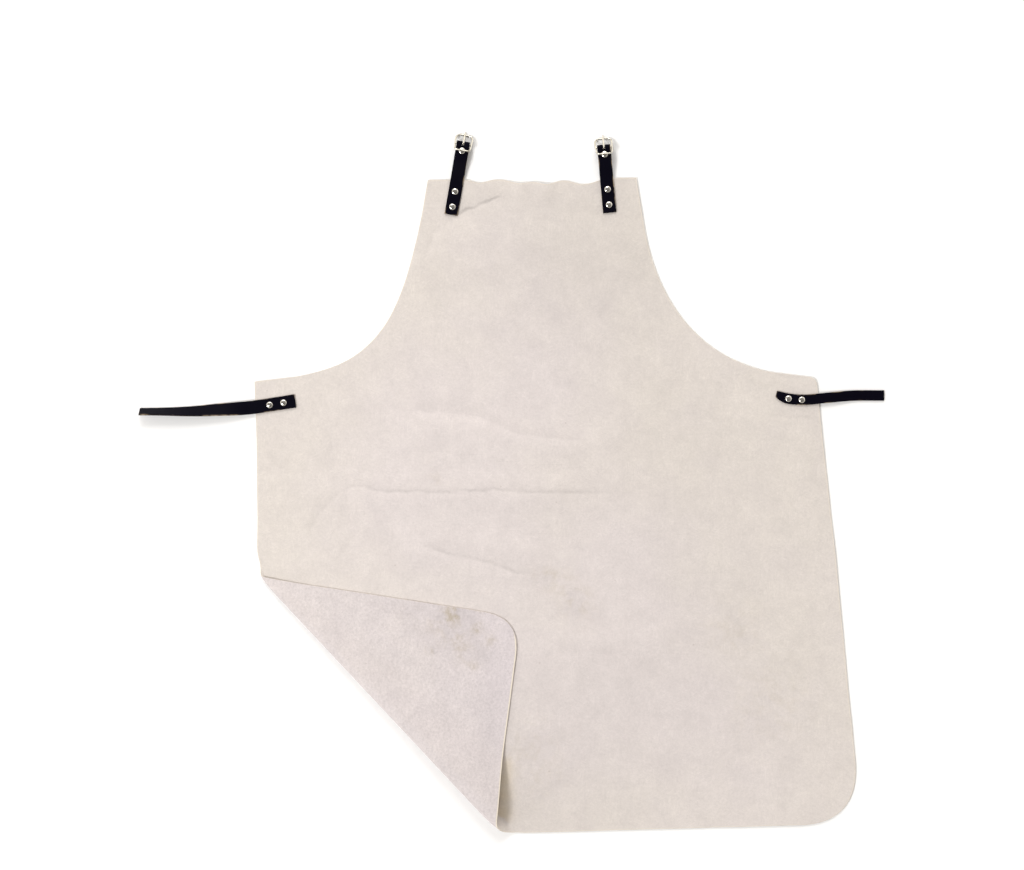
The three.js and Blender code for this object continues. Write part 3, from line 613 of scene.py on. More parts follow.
def remap(value, low, high, to_low=0.0, to_high=1.0):
    """A smooth step from low to high, between two values."""
    values = {"Value": value, "From Min": low, "From Max": high, "To Min": to_low, "To Max": to_high}
    return node(value.tree, "ShaderNodeMapRange", values, interpolation_type="SMOOTHSTEP")[0]


def grain(place, scale, detail=2.0, rough=0.5, warp=0.0):
    values = {"Vector": place, "Scale": scale, "Detail": detail, "Roughness": rough, "Distortion": warp}
    return node(place.tree, "ShaderNodeTexNoise", values)[0]


def mapped(place, scale, shift=(0, 0, 0)):
    return node(place.tree, "ShaderNodeMapping", {0: place, 1: shift, 3: scale})[0]


def mixed(tree, mode, share, *colours):
    sides = [side if isinstance(side, Value) else (*side, 1) for side in colours]
    values = {0: share, 6: sides[0], 7: sides[1]}
    return node(tree, "ShaderNodeMix", values, data_type="RGBA", blend_type=mode)[2]


def blend(share, a, b):
    return mixed(share.tree, "MIX", share, a, b)


def shaded(colour, tone):
    """A colour times a tone."""
    grey = node(tone.tree, "ShaderNodeCombineColor", dict.fromkeys(range(3), tone))[0]
    return mixed(tone.tree, "MULTIPLY", 1.0, colour, grey)


def hide_mottling(place, cool, contrast):
    """Cloudy patches of a tanned hide: how warm each place is, and a tone about 1."""
    broad = grain(place, 7.0, detail=3.0, rough=0.6)
    middle = grain(place, 26.0, detail=4.0, rough=0.6, warp=0.4)
    small = grain(place, 85.0, detail=3.0, rough=0.65)
    warmth = (broad * 1.1 + middle * 0.5 + 0.1).math("SUBTRACT", cool, clamp=True)
    return {"Warmth": warmth, "Tone": (middle * 0.55 + small * 0.45 - 0.5) * contrast * 0.26 + 1.0}


def suede_nap(place, fibres, speckle):
    """Short brushed fibres in a few directions over a fine nap: a tone about 1 and a height."""
    strands = None
    for turn, patch in ((0.35, 3.1), (1.65, 7.7), (-0.6, 12.9)):
        brushed = {"Vector": place, "Angle": turn}
        brushed = node(place.tree, "ShaderNodeVectorRotate", brushed, rotation_type="Z_AXIS")[0]
        stretched = mapped(brushed, (95.0, 620.0, 1.0), (patch, patch, patch))
        strand = remap(grain(stretched, 1.0, detail=2.0, rough=0.55, warp=0.3), 0.5, 0.72)
        there = node(place.tree, "ShaderNodeVectorMath", {0: place, 1: (patch, 0, 0)}, operation="ADD")[0]
        strand *= remap(grain(there, 24.0), 0.45, 0.6)
        strands = strands.math("MAXIMUM", strand) if strands else strand
    fine = grain(place, 720.0, detail=2.0, rough=0.7)
    coarse = grain(place, 260.0, detail=2.0, rough=0.6)
    nap = coarse * 0.5 + fine * 0.5
    tone = (nap - 0.5) * speckle * 0.22 + strands * fibres * 0.035 + 1.0
    return {"Tone": tone, "Height": strands * 0.2 + nap}


def pressed_creases(place, offset, line, bank):
    """A pressed line, with painted shade on it and above it and painted light below it: a tone about 1 and a
    height.
    """
    offset += (grain(place, 60.0, detail=4.0) - 0.5) * 9.0
    line = remap(offset.math("ABSOLUTE"), 4.2, 0.0) * line
    line *= remap(grain(place, 34.0, detail=2.0), 0.36, 0.6, 0.4, 1.0)
    above = remap(offset, -1.5, 3.0) * remap(offset, 27.0, 4.0)
    below = remap(offset, 1.5, -3.0) * remap(offset, -20.0, -4.0)
    shade = line * 0.11 + (above * 0.045 - below * 0.03) * bank
    return {"Tone": shade * -1.0 + 1.0, "Height": line * -1.0}


def strap_grain(place, rub):
    """Fine pebbled grain of dyed strap leather with small rubbed places: a wear mask and a height."""
    cells = node(place.tree, "ShaderNodeTexVoronoi", {"Vector": place, "Scale": 1150.0}, feature="SMOOTH_F1")
    creased = grain(place, 430.0, detail=3.0, rough=0.6, warp=0.5)
    rubbed = remap(grain(place, 150.0, detail=5.0, rough=0.7), 0.56, 0.78)
    return {"Wear": rubbed * rub, "Height": cells["Distance"] * 0.7 + creased * 0.5}


def use(effect, place, **values):
    """Places an effect in a material: its outputs. Its shader group is built at its first use."""
    name = effect.__name__.replace("_", " ").capitalize()
    group = bpy.data.node_groups.get(name)
    if not group:
        group = bpy.data.node_groups.new(name, "ShaderNodeTree")
        group.interface.new_socket("Vector", in_out="INPUT", socket_type="NodeSocketVector")
        for label in values:
            group.interface.new_socket(label, in_out="INPUT", socket_type="NodeSocketFloat")
        into = node(group, "NodeGroupInput")
        made = effect(into["Vector"], *(into[label] for label in values))
        for label in made:
            group.interface.new_socket(label, in_out="OUTPUT", socket_type="NodeSocketFloat")
        node(group, "NodeGroupOutput", made)
    return node(place.tree, "ShaderNodeGroup", {"Vector": place, **values}, node_tree=group)


def new_material(name):
    """A material with a Principled shader: the material, its tree and its shader."""
    material = bpy.data.materials.new(name)
    material.use_nodes = True
    return material, material.node_tree, material.node_tree.nodes["Principled BSDF"]


def object_place(tree):
    return node(tree, "ShaderNodeTexCoord")["Object"]


def attribute_value(tree, name):
    return node(tree, "ShaderNodeAttribute", attribute_name=name)["Fac"]


def bumped(height, strength, distance):
    values = {"Height": height, "Strength": strength, "Distance": distance}
    return node(height.tree, "ShaderNodeBump", values)["Normal"]


def hide_material(name, leather, cool, warm, soil_name, rim, contrast, fibres, speckle):
    """Split leather: mottled colour, brushed nap, soil and a few dark specks, with painted shade and light at
    the crease lines, painted warm shade in the fold's pocket and darker patches of tone and painted shade.
    """
    material, tree, shader = new_material(name)
    flat = node(tree, "ShaderNodeUVMap", uv_map="flat_cut")[0]
    mottling = use(hide_mottling, flat, Cool=attribute_value(tree, "cool_share"), Contrast=contrast)
    nap = use(suede_nap, flat, Fibres=fibres, Speckle=speckle)
    crease = {label: attribute_value(tree, f"crease_{label.lower()}") for label in ("Offset", "Line", "Bank")}
    crease = use(pressed_creases, flat, **crease)
    colour = blend(mottling["Warmth"], cool, warm)
    # Painted warm shade inside the fold's pocket
    colour = blend(attribute_value(tree, "tan_share"), colour, leather.tan_colour)
    # Darker patches: the hide's uneven tone together with painted shade where the light is weaker
    dusk = attribute_value(tree, "dusky_share") * -DUSK + 1.0
    # The crease tone is painted shade on and above each crease line and painted light below it
    colour = shaded(colour, mottling["Tone"] * nap["Tone"] * crease["Tone"] * dusk)

    patchy = remap(grain(flat, 75.0, detail=6.0, rough=0.72), 0.38, 0.64, 0.15, 1.0)
    soil = attribute_value(tree, soil_name).math("MULTIPLY", patchy, clamp=True)
    dirt = blend(remap(grain(flat, 38.0), 0.42, 0.6), leather.soil_colour, leather.dust_colour)
    colour = blend(soil * SOIL_COVER, colour, dirt)
    edge = remap(attribute_value(tree, "edge_near"), 2.8, 0.9, 0.0, rim)
    colour = blend(edge, colour, leather.edge_colour)
    spots = node(tree, "ShaderNodeTexVoronoi", {"Vector": flat, "Scale": SPECK_SCALE})
    size = remap(spots["Color"], 0.72, 0.8) * SPECK_SIZE
    colour = blend(spots["Distance"].math("LESS_THAN", size) * SPECK_COVER, colour, leather.speck_colour)
    relief = crease["Height"] * CREASE_DEPTH + nap["Height"]
    fill(shader, {
        "Base Color": colour,
        "Roughness": remap(nap["Height"], 0.3, 0.8, 0.99, 0.86),
        "Specular IOR Level": 0.22,
        "Sheen Weight": 0.12,
        "Sheen Roughness": 0.55,
        "Normal": bumped(relief, leather.nap_strength, distance=0.0006),
    })
    return material


def cut_edge_material(leather):
    """Raw cut edge of the split leather, pale and fibrous."""
    material, tree, shader = new_material("split_leather_cut_edge")
    place = object_place(tree)
    nap = use(suede_nap, place, Fibres=2.0, Speckle=1.6)
    layers = grain(mapped(place, (300, 300, 4000)), 1.0, detail=2.0)
    colour = blend(remap(layers, 0.35, 0.65), leather.edge_colour, leather.warm_colour)
    fill(shader, {
        "Base Color": shaded(colour, nap["Tone"]),
        "Roughness": 0.95,
        "Specular IOR Level": 0.2,
        "Normal": bumped(nap["Height"], strength=0.5, distance=0.0004),
    })
    return material


def strap_material(name, straps, dye, rubbed, rub, roughness, depth):
    """Black strap leather or its cut edge: grain, rubbed places and a low sheen."""
    material, tree, shader = new_material(name)
    place = object_place(tree)
    worn = use(strap_grain, place, Rub=rub)
    near_edge = remap(attribute_value(tree, "edge_near"), 1.4, 0.4)
    bare = remap(grain(place, 55.0, detail=3.0), 0.5, 0.66) * near_edge
    fill(shader, {
        "Base Color": blend(bare, blend(worn["Wear"], dye, rubbed), straps.raw_colour),
        "Roughness": remap(worn["Wear"], 0, 1, roughness, roughness + 0.2),
        "Specular IOR Level": straps.gloss,
        "Normal": bumped(worn["Height"], depth, distance=0.00025),
    })
    return material


def nickel_material(metal, name, dull):
    """Nickel plate with some share of dull tarnish and fine scratches."""
    if name in bpy.data.materials:
        return bpy.data.materials[name]
    material, tree, shader = new_material(name)
    place = object_place(tree)
    tarnish = remap(grain(place, 420.0, detail=4.0, rough=0.6), 0.48, 0.75)
    scratch = remap(grain(mapped(place, (900, 5200, 1800)), 1.0, detail=2.0), 0.6, 0.72)
    dull_share = (tarnish * 0.45).math("ADD", dull, clamp=True)
    fill(shader, {
        "Base Color": blend(dull_share, metal.colour, metal.tarnish_colour),
        "Metallic": 1.0,
        "Roughness": tarnish * 0.2 + metal.roughness + scratch * 0.12,
        "Normal": bumped(tarnish - scratch, strength=0.08, distance=0.0001),
    })
    return material


def shape_tree(name, *sizes, **others):
    """An empty Geometry Nodes tree with named sizes, other inputs and a finish: the tree and its inputs."""
    tree = bpy.data.node_groups.new(name, "GeometryNodeTree")
    kinds = {"Geometry": "Geometry", **dict.fromkeys(sizes, "Float"), **others, "Finish": "Material"}
    for label, kind in kinds.items():
        tree.interface.new_socket(label, in_out="INPUT", socket_type=f"NodeSocket{kind}")
    tree.interface.new_socket("Geometry", in_out="OUTPUT", socket_type="NodeSocketGeometry")
    return tree, node(tree, "NodeGroupInput")


def closed_tree(tree, shapes, finish):
    """Joins shapes, smooths them, makes them real and gives them their finish."""
    join = tree.nodes.new("GeometryNodeJoinGeometry")
    for shape in shapes:
        fill(join, {0: shape})
    smooth = node(tree, "GeometryNodeSetShadeSmooth", {0: Value(join.outputs[0])})[0]
    real = node(tree, "GeometryNodeRealizeInstances", {0: smooth})[0]
    dressed = node(tree, "GeometryNodeSetMaterial", {0: real, "Material": finish})[0]
    node(tree, "NodeGroupOutput", {0: dressed})
    return tree


def grown_mesh(mesh, tree, metal, finish):
    """The plain mesh that a tree grows from a mesh of points or lines, with the metal's sizes."""
    values = {"finish": finish, **{key: getattr(metal, key) for key in metal.__annotations__}}
    source = in_scene(mesh.name, mesh)
    modifier = source.modifiers.new("Shape", "NODES")
    modifier.node_group = tree
    for item in tree.interface.items_tree:
        key = item.name.lower().replace(" ", "_")
        if item.in_out == "INPUT" and key in values:
            modifier[item.identifier] = values[key]
    return finished_mesh(source)


def vector(tree, *axes):
    return node(tree, "ShaderNodeCombineXYZ", dict(enumerate(axes)))[0]


def named_value(tree, name):
    return node(tree, "GeometryNodeInputNamedAttribute", {"Name": name}, data_type="FLOAT")[0]


def button(tree, radius, dome, rim):
    """A closed round button: a dome over a short wall with a rounded foot. Its shoulder is at zero height."""
    ball = node(tree, "GeometryNodeMeshUVSphere", {"Segments": BUTTON_SEGMENTS, "Rings": BUTTON_RINGS})[0]
    axes = node(tree, "ShaderNodeSeparateXYZ", {0: node(tree, "GeometryNodeInputPosition")[0]})
    x, y, z = axes["X"], axes["Y"], axes["Z"]
    away = node(tree, "ShaderNodeVectorMath", {0: vector(tree, x, y)}, operation="LENGTH")["Value"]
    under = z.math("LESS_THAN", -1e-4)
    spread = away.math("POWER", under * -WALL_STEEP + 1.0).math("DIVIDE", away.math("MAXIMUM", 1e-5)) * radius
    foot = z.math("ABSOLUTE").math("POWER", FOOT_ROUND) * rim
    height = z.math("MAXIMUM", 0.0) * dome - foot * under
    place = vector(tree, x * spread, y * spread, height)
    return node(tree, "GeometryNodeSetPosition", {0: ball, "Position": place})[0]


def rivet_tree():
    """Rivets on points: a base at each, a shank and a domed cap as high up as the point's tall value says."""
    sizes = ("Cap Radius", "Cap Dome", "Cap Rim", "Base Radius", "Base Height", "Shank Radius", "Cap Tilt")
    tree, into = shape_tree("Domed rivets", *sizes, Seed="Int")
    tall = named_value(tree, "tall")

    def placed(height, shape, **more):
        raised = {0: into["Geometry"], "Offset": vector(tree, 0.0, 0.0, height)}
        raised = node(tree, "GeometryNodeSetPosition", raised)[0]
        return node(tree, "GeometryNodeInstanceOnPoints", {"Points": raised, "Instance": shape, **more})[0]

    tilt, lean = into["Cap Tilt"], into["Cap Tilt"] * -1.0
    tilts = {0: vector(tree, lean, lean), 1: vector(tree, tilt, tilt), "Seed": into["Seed"]}
    tilts = node(tree, "FunctionNodeRandomValue", tilts, data_type="FLOAT_VECTOR")[0]
    turn = node(tree, "FunctionNodeEulerToRotation", {0: tilts})[0]
    cap = button(tree, into["Cap Radius"], into["Cap Dome"], into["Cap Rim"])
    base_rim = into["Base Height"] * BASE_RIM
    base = button(tree, into["Base Radius"], into["Base Height"] * BASE_DOME, base_rim)
    shank = {"Vertices": SHANK_SIDES, "Radius": into["Shank Radius"], "Depth": 1.0}
    shank = node(tree, "GeometryNodeMeshCylinder", shank)[0]
    shapes = (
        placed(tall - into["Cap Dome"], cap, Rotation=turn),
        placed(base_rim, base),
        placed(tall * SHANK_MIDDLE, shank, Scale=vector(tree, 1.0, 1.0, tall * SHANK_LONG)),
    )
    return closed_tree(tree, shapes, into["Finish"])


def wire_tree():
    """Round wire along lines, with every corner bent to a radius times the point's ease value."""
    tree, into = shape_tree("Bent wire", "Wire Radius", "Corner Radius")
    path = node(tree, "GeometryNodeMeshToCurve", {0: into["Geometry"]})[0]
    bend = into["Corner Radius"] * named_value(tree, "ease")
    bent = {"Curve": path, "Radius": bend, "Count": BEND_STEPS, "Limit Radius": True}
    bent = node(tree, "GeometryNodeFilletCurve", bent, mode="POLY")[0]
    round_wire = {"Resolution": WIRE_SIDES, "Radius": into["Wire Radius"]}
    round_wire = node(tree, "GeometryNodeCurvePrimitiveCircle", round_wire)[0]
    wire = {"Curve": bent, "Profile Curve": round_wire, "Fill Caps": True}
    return closed_tree(tree, (node(tree, "GeometryNodeCurveToMesh", wire)[0],), into["Finish"])


def buckle_place(side, tilt=0.0):
    """Matrix in metres to the frame from a tab's axes, or its tilted buckle's, with the bar at the origin."""
    tab = TABS[side]
    place = Matrix.Translation(Vector((tab["x"], tab["y"], BAR_HEIGHT)) * MM)
    place @= Matrix.Rotation(-math.radians(tab["lean"]), 4, "Z")
    return place @ Matrix.Rotation(math.radians(tilt), 4, "X")


def moved(points, matrix):
    return np.asarray(points, float) @ np.array(matrix.to_3x3()).T + np.array(matrix.translation)


def outline_distance(rows):
    """Distance of each point of a strap's rows from the strap's outline, in the units of the rows."""
    sides = (np.linalg.norm(rows - side, axis=2) for side in (rows[:, :1], rows[:, -1:]))
    along = np.cumsum(np.linalg.norm(np.diff(rows, axis=0, prepend=rows[:1]), axis=2), axis=0)
    return np.minimum.reduce([*sides, along, along[-1:] - along])


def cut_strap(node_name, rows, straps, closed=True):
    """Puts a leather strap in the scene, from rows of points on its middle surface.

    It gets its wall, round edges and two finishes. Cells between the points stay open where closed is False.
    """
    name = f"{node_name}_leather"
    faces = quads(numbered(rows))
    mesh = mesh_from(name, rows.reshape(-1, 3), faces[np.broadcast_to(closed, len(faces))])
    point_values(mesh, "edge_near", outline_distance(rows).ravel() / MM)
    for label, dye, rubbed, finish in (
        ("black_strap_leather", straps.colour, straps.rubbed_colour, STRAP_FACE),
        ("black_strap_cut_edge", straps.edge_colour, straps.raw_colour, STRAP_CUT),
    ):
        made = bpy.data.materials.get(label) or strap_material(label, straps, dye, rubbed, **finish)
        mesh.materials.append(made)
    source = in_scene(name, mesh)
    wall = {"thickness": straps.thickness, "offset": 0, "use_even_offset": True, "material_offset_rim": 1}
    edge = {"width": straps.edge_round, "segments": ROUND_STEPS}
    edge.update(limit_method="ANGLE", angle_limit=SHARP_EDGE)
    for kind, settings in (("SOLIDIFY", wall), ("BEVEL", edge)):
        modifier = source.modifiers.new(kind.title(), kind)
        for key, setting in settings.items():
            setattr(modifier, key, setting)
    made = finished_mesh(source)
    made.shade_smooth()
    piece_from(name, made, "root", "black_leather", node_name)


def tab_line(tab):
    """Middle line of a shoulder tab seen from the side, in millimetres, and the rows that the slot opens."""
    on_bib = STRAP_FLOOR + STRAP_WALL / 2 - BAR_HEIGHT
    on_rivet = (STRAP_WALL + LAYER_GAP) / 2
    on_fold = FOLD_INNER + STRAP_WALL / 2

    def rise(start, end, low, high, rows=FLAT_ROWS):
        share = np.linspace(0, 1, rows + 1)
        ease = share**3 * (share * (share * 6 - 15) + 10)
        return np.column_stack([start + (end - start) * share, low + (high - low) * ease])

    angle = np.linspace(math.pi / 2, -math.pi / 2, FOLD_ROWS)[1:-1]
    stretches = [
        rise(-tab["reach"], -tab["bib_reach"], on_bib, on_bib, BIB_ROWS)[:-1],
        rise(-tab["bib_reach"], -TAB_TAIL, on_bib, on_rivet, RISE_ROWS)[:-1],
        rise(-TAB_TAIL, -SLOT_BACK, on_rivet, on_rivet)[:-1],
        rise(-SLOT_BACK, 0, on_rivet, on_fold),
        np.column_stack([on_fold * np.cos(angle), on_fold * np.sin(angle)]),
        rise(0, -SLOT_BACK, -on_fold, -on_rivet),
        rise(-SLOT_BACK, -TAB_TAIL, -on_rivet, -on_rivet)[1:],
    ]
    first = sum(map(len, stretches[:3])) + 1
    return np.vstack(stretches), slice(first, first + sum(map(len, stretches[3:6])) - SLOT_CLOSED)


def waist_rows(strap):
    """Rows of points on the middle surface of a waist strap, in millimetres."""
    _, length = route_points(strap["route"], 2)
    points, _ = route_points(strap["route"], int(length / STRAP_STEP))
    along = np.linspace(0, length, len(points))
    heading = np.gradient(points, axis=0)
    heading /= np.linalg.norm(heading, axis=1)[:, None]
    loose = np.clip((along - strap["leaves"]) / (length - strap["leaves"]), 0, 1)
    roll = math.radians(strap["roll"]) * np.sin(loose * math.pi / 2)
    across = np.column_stack([-heading[:, 1] * np.cos(roll), heading[:, 0] * np.cos(roll), np.sin(roll)])
    floor = STRAP_FLOOR + (TABLE_GAP - STRAP_FLOOR) * smoothstep(along, strap["leaves"], strap["lands"])
    half = strap["width"] / 2
    height = floor + half * np.sin(roll) + STRAP_WALL / 2 * np.cos(roll)
    cut = strap["corner_cut"] * np.maximum(1 - along / CORNER_CUT_REACH, 0) ** 2
    offset = (cut - half)[:, None] + (2 * half - cut)[:, None] * np.linspace(0, 1, STRAP_COLUMNS)
    return np.column_stack([points, height])[:, None] + across[:, None] * offset[:, :, None]


def dimple(rows, spots):
    """Presses a shallow dimple into rows of points under each rivet's cap."""
    for x, y in spots:
        rows[:, :, 2] -= DIMPLE * bell(np.hypot(rows[:, :, 0] - x, rows[:, :, 1] - y), DIMPLE_REACH)


def tongue_mesh(metal):
    """Points and faces of a tongue in the bar's axes: an arm that curls round the bar and tapers to a tip."""
    reach = np.linspace(TONGUE_LENGTH - TONGUE_TIP, 0, ARM_STEPS)
    dip, taper = (np.clip((reach - TONGUE_LENGTH) / part[0] + 1, 0, 1) for part in (TONGUE_DIP, TONGUE_TAPER))
    angle = np.linspace(math.pi / 2, TONGUE_CURL, CURL_STEPS)[1:]
    out = np.concatenate([reach, TONGUE_RING * np.cos(angle)])
    up = np.concatenate([TONGUE_RING - TONGUE_DIP[1] * dip**2, TONGUE_RING * np.sin(angle)])
    path = np.column_stack([np.zeros(len(out)), out, up]) * MM
    run = np.gradient(path, axis=0)
    run /= np.linalg.norm(run, axis=1)[:, None]
    width = np.array([metal.tongue_width / 2, 0, 0])
    wall = np.cross((1, 0, 0), run) * metal.tongue_wall / 2
    scale = np.concatenate([1 - TONGUE_TAPER[1] * taper**TAPER_POWER, np.ones(len(angle))])[:, None, None]
    side = np.linspace(0, 2 * math.pi, TONGUE_SIDES, endpoint=False)[None, :, None]
    rings = path[:, None] + scale * (np.cos(side) * width + np.sin(side) * wall[:, None])
    blunt = [
        path[end] + (path[end] - path[inner]) * BLUNT_REACH + BLUNT_SIZE * (rings[end] - path[end])
        for end, inner in ((0, 1), (-1, -2))
    ]
    points = np.array([blunt[0], *rings, blunt[1]])
    numbers = numbered(points)
    faces = quads(np.hstack([numbers, numbers[:, :1]]))[:, ::-1]
    return points.reshape(-1, 3), [*faces, numbers[0], numbers[-1, ::-1]]


def measure(name, description, default, unit="LENGTH"):
    return FloatProperty(name=name, description=description, default=default, unit=unit, precision=5)


def level(name, description, default, subtype="FACTOR"):
    return FloatProperty(name=name, description=description, default=default, subtype=subtype)


def paint(name, description, *default):
    return FloatVectorProperty(name=name, description=description, default=default, subtype="COLOR")


class LeatherSettings(bpy.types.PropertyGroup):
    """Sizes and colours of the apron's panel."""

    columns: IntProperty(name="Columns", description="Faces across the panel", default=178, min=20, max=200)
    swell: measure("Swell", "Height of the leather's gentle swells", 0.0011)
    crease_height: level("Crease Height", "Scale of the ridges beside the crease lines", 0.7)
    edge_lift: measure("Edge Lift", "Most that the cut edge curls up", 0.0008)
    flap_lift: measure("Flap Lift", "Curl of the turned corner's edge", 0.0006)
    edge_wander: measure("Edge Wander", "How far the cut edge strays", 0.0007)
    nap_strength: level("Nap Strength", "Relief of the nap", 0.35)
    cool_colour: paint("Cool Face", "Greyer patches of the face", 0.627, 0.574, 0.56)
    warm_colour: paint("Warm Face", "Creamier patches of the face", 0.629, 0.581, 0.54)
    reverse_cool_colour: paint("Cool Reverse", "Greyer patches of the reverse", 0.587, 0.535, 0.546)
    reverse_warm_colour: paint("Warm Reverse", "Paler patches of the reverse", 0.607, 0.556, 0.546)
    # Colour of the painted warm shade inside the fold's pocket
    tan_colour: paint("Tan", "Less faded leather inside the fold", 0.67, 0.57, 0.42)
    edge_colour: paint("Cut Edge", "Fibres of the cut edge", 0.75, 0.68, 0.56)
    soil_colour: paint("Soil", "Stains rubbed into the leather", 0.36, 0.3, 0.2)
    dust_colour: paint("Dust", "Greyer stains", 0.44, 0.4, 0.4)
    speck_colour: paint("Specks", "Small dark flecks", 0.3, 0.25, 0.22)


class StrapSettings(bpy.types.PropertyGroup):
    """Sizes and colours of the shoulder tabs and waist straps."""

    thickness: measure("Thickness", "Thickness of the straps", STRAP_WALL * MM)
    edge_round: measure("Edge Round", "Rounding of the cut edges", 0.00045)
    gloss: level("Gloss", "Shine of the dyed face", 0.04)
    colour: paint("Leather", "Dyed face", 0.0018, 0.0014, 0.005)
    rubbed_colour: paint("Rubbed", "Rubbed places of the face", 0.005, 0.0045, 0.008)
    edge_colour: paint("Cut Edge", "Dyed cut edge", 0.03, 0.024, 0.02)
    raw_colour: paint("Raw Edge", "Undyed fibres that show at the cut edge", 0.3, 0.235, 0.165)


class MetalSettings(bpy.types.PropertyGroup):
    """Sizes and colours of the rivets and buckles."""

    cap_radius: measure("Cap Radius", "Radius of a rivet's cap", 0.00475)
    cap_dome: measure("Cap Dome", "Height of the cap's dome", 0.0015)
    cap_rim: measure("Cap Rim", "Height of the cap's wall", 0.0005)
    base_radius: measure("Base Radius", "Radius of a rivet's base", 0.0045)
    base_height: measure("Base Height", "Height of a rivet's base", 0.0008)
    shank_radius: measure("Shank Radius", "Radius of a rivet's shank", 0.0018)
    cap_tilt: measure("Cap Tilt", "How far a cap may sit out of level", math.radians(2), "ROTATION")
    seed: IntProperty(name="Seed", description="Seed of the caps' tilt", default=4, min=0)
    wire_radius: measure("Wire Radius", "Radius of the buckle's wire", 0.00125)
    corner_radius: measure("Corner Radius", "Bend of the buckle's corners", 0.0045)
    tongue_width: measure("Tongue Width", "Width of a buckle's tongue", 0.0025)
    tongue_wall: measure("Tongue Thickness", "Thickness of a tongue", 0.0014)
    roughness: level("Roughness", "Roughness of clean plate", 0.11)
    colour: paint("Nickel", "Clean nickel plate", 0.86, 0.84, 0.79)
    tarnish_colour: paint("Tarnish", "Dull nickel plate", 0.34, 0.3, 0.21)


class StageSettings(bpy.types.PropertyGroup):
    """Floor, lights and camera."""

    frame_width: measure("Frame Width", "Width of the floor that the picture shows", 1.536)
    frame_middle: measure("Frame Middle", "Place of the picture's middle along Y", 0.06975)
    camera_height: measure("Camera Height", "Height of the camera over the floor", 4.2)
    floor_size: measure("Floor Size", "Side of the floor", 24.0)
    floor_colour: paint("Floor", "Colour of the floor", 0.94, 0.94, 0.94)
    key_power: measure("Key Power", "Power of the key light", 210.0, "POWER")
    window_power: measure("Window Power", "Power of the wide light", 105.0, "POWER")
    sky_colour: paint("Sky Colour", "Colour of the light from all round", 1.0, 0.955, 0.9)
    sky_low: level("Low Sky", "Light from low all round", 1.3, "NONE")
    sky_high: level("High Sky", "Light from straight above", 0.22, "NONE")
    sky_tilt: level("Sky Tilt", "How much brighter the sky is beyond the bib than beyond the hem", 0.4)


class APRON_OT_lay_panel(bpy.types.Operator):
    """Lays the leather panel out from its flat cut, with its turned-back corner"""

    bl_idname = "apron.lay_panel"
    bl_label = "Lay Panel"

    def execute(self, context):
        leather = context.scene.apron_leather
        flat, faces = panel_grid(leather.columns)
        count = len(flat)
        rim = rim_edges(faces)
        rim_points = np.unique(rim)
        edge = rim_distance(flat, rim_points)
        middle = laid_out(flat, edge, leather) * MM
        bulge = RIM_BULGE + RIM_ROUGH * drift(*flat[rim_points].T, RIM_FIBRES)
        mesh = mesh_from("apron_panel", *walled(middle, faces, rim, rim_points, bulge))

        for label, cool, warm, finish in (
            ("face", leather.cool_colour, leather.warm_colour, HIDE_FACE),
            ("reverse", leather.reverse_cool_colour, leather.reverse_warm_colour, HIDE_REVERSE),
        ):
            mesh.materials.append(hide_material(f"split_leather_{label}", leather, cool, warm, **finish))
        mesh.materials.append(cut_edge_material(leather))
        sides = np.repeat([0, 1, 2], [len(faces), len(faces), 2 * len(rim)])
        mesh.polygons.foreach_set("material_index", sides.astype(np.int32))
        mesh.shade_smooth()
        sharpen(mesh, np.vstack([rim, rim + count]))

        home = np.concatenate([np.arange(count), np.arange(count), rim_points])
        x, y = middle[home, :2].T / MM
        offset, line, bank, _ = creases_at(x, y)
        turned = fold_depth(flat) > 0
        over = turned[home]
        soiled = SOILED_EDGE * (1 - smoothstep(flat[:, 0], *PALE_ALONG)) * turned
        for label, values in {
            "cool_share": patch_share(x, y, COOL_PATCHES),
            "crease_offset": offset,
            # Strengths of the crease lines' painted shade and of their banks' painted shade and light
            "crease_line": np.where(over, 0, line),
            "crease_bank": np.where(over, 0, bank),
            "face_soil": np.where(over, 0, patch_share(x, y, FACE_SOIL)),
            "flap_soil": np.where(over, patch_share(x, y, FLAP_SOIL), 0),
            # Where the darker patches of uneven tone and painted shade lie
            "dusky_share": patch_share(x, y, DARK_TONE_AND_SHADE_PATCHES),
            # Where the painted warm shade inside the fold's pocket lies
            "tan_share": np.where(over, 0, patch_share(x, y, POCKET_SHADE_PATCHES)),
            "edge_near": (edge + soiled)[home],
        }.items():
            point_values(mesh, label, values)
        corners = np.zeros(len(mesh.loops), np.int32)
        mesh.loops.foreach_get("vertex_index", corners)
        layer = mesh.uv_layers.new(name="flat_cut")
        layer.data.foreach_set("uv", ((flat[home][corners] + FLAT_SHIFT) * MM).astype(np.float32).ravel())

        panel = piece_from("apron_panel", mesh, "root", "split_leather", "panel")
        return {"FINISHED"}


class APRON_OT_fold_tabs(bpy.types.Operator):
    """Folds the two shoulder tabs round their buckles' bars"""

    bl_idname = "apron.fold_tabs"
    bl_label = "Fold Shoulder Tabs"

    def execute(self, context):
        for side, tab in TABS.items():
            line, slot_rows = tab_line(tab)
            rows = np.zeros((len(line), len(TAB_COLUMNS), 3))
            rows[:, :, 0] = TAB_COLUMNS
            rows[:, :, 1:] = line[:, None]
            rivets = (*(from_end - tab["reach"] for from_end in TAB_RIVETS), -BUCKLE_RIVET)
            dimple(rows[:-TAIL_ROWS], [(0, rivet) for rivet in rivets])
            closed = np.full((len(line) - 1, len(TAB_COLUMNS) - 1), True)
            closed[slot_rows, SLOT_COLUMNS] = False
            rows = moved(rows * MM, buckle_place(side))
            cut_strap(f"shoulder_tab_{side}", rows, context.scene.apron_straps, closed.ravel())
        return {"FINISHED"}


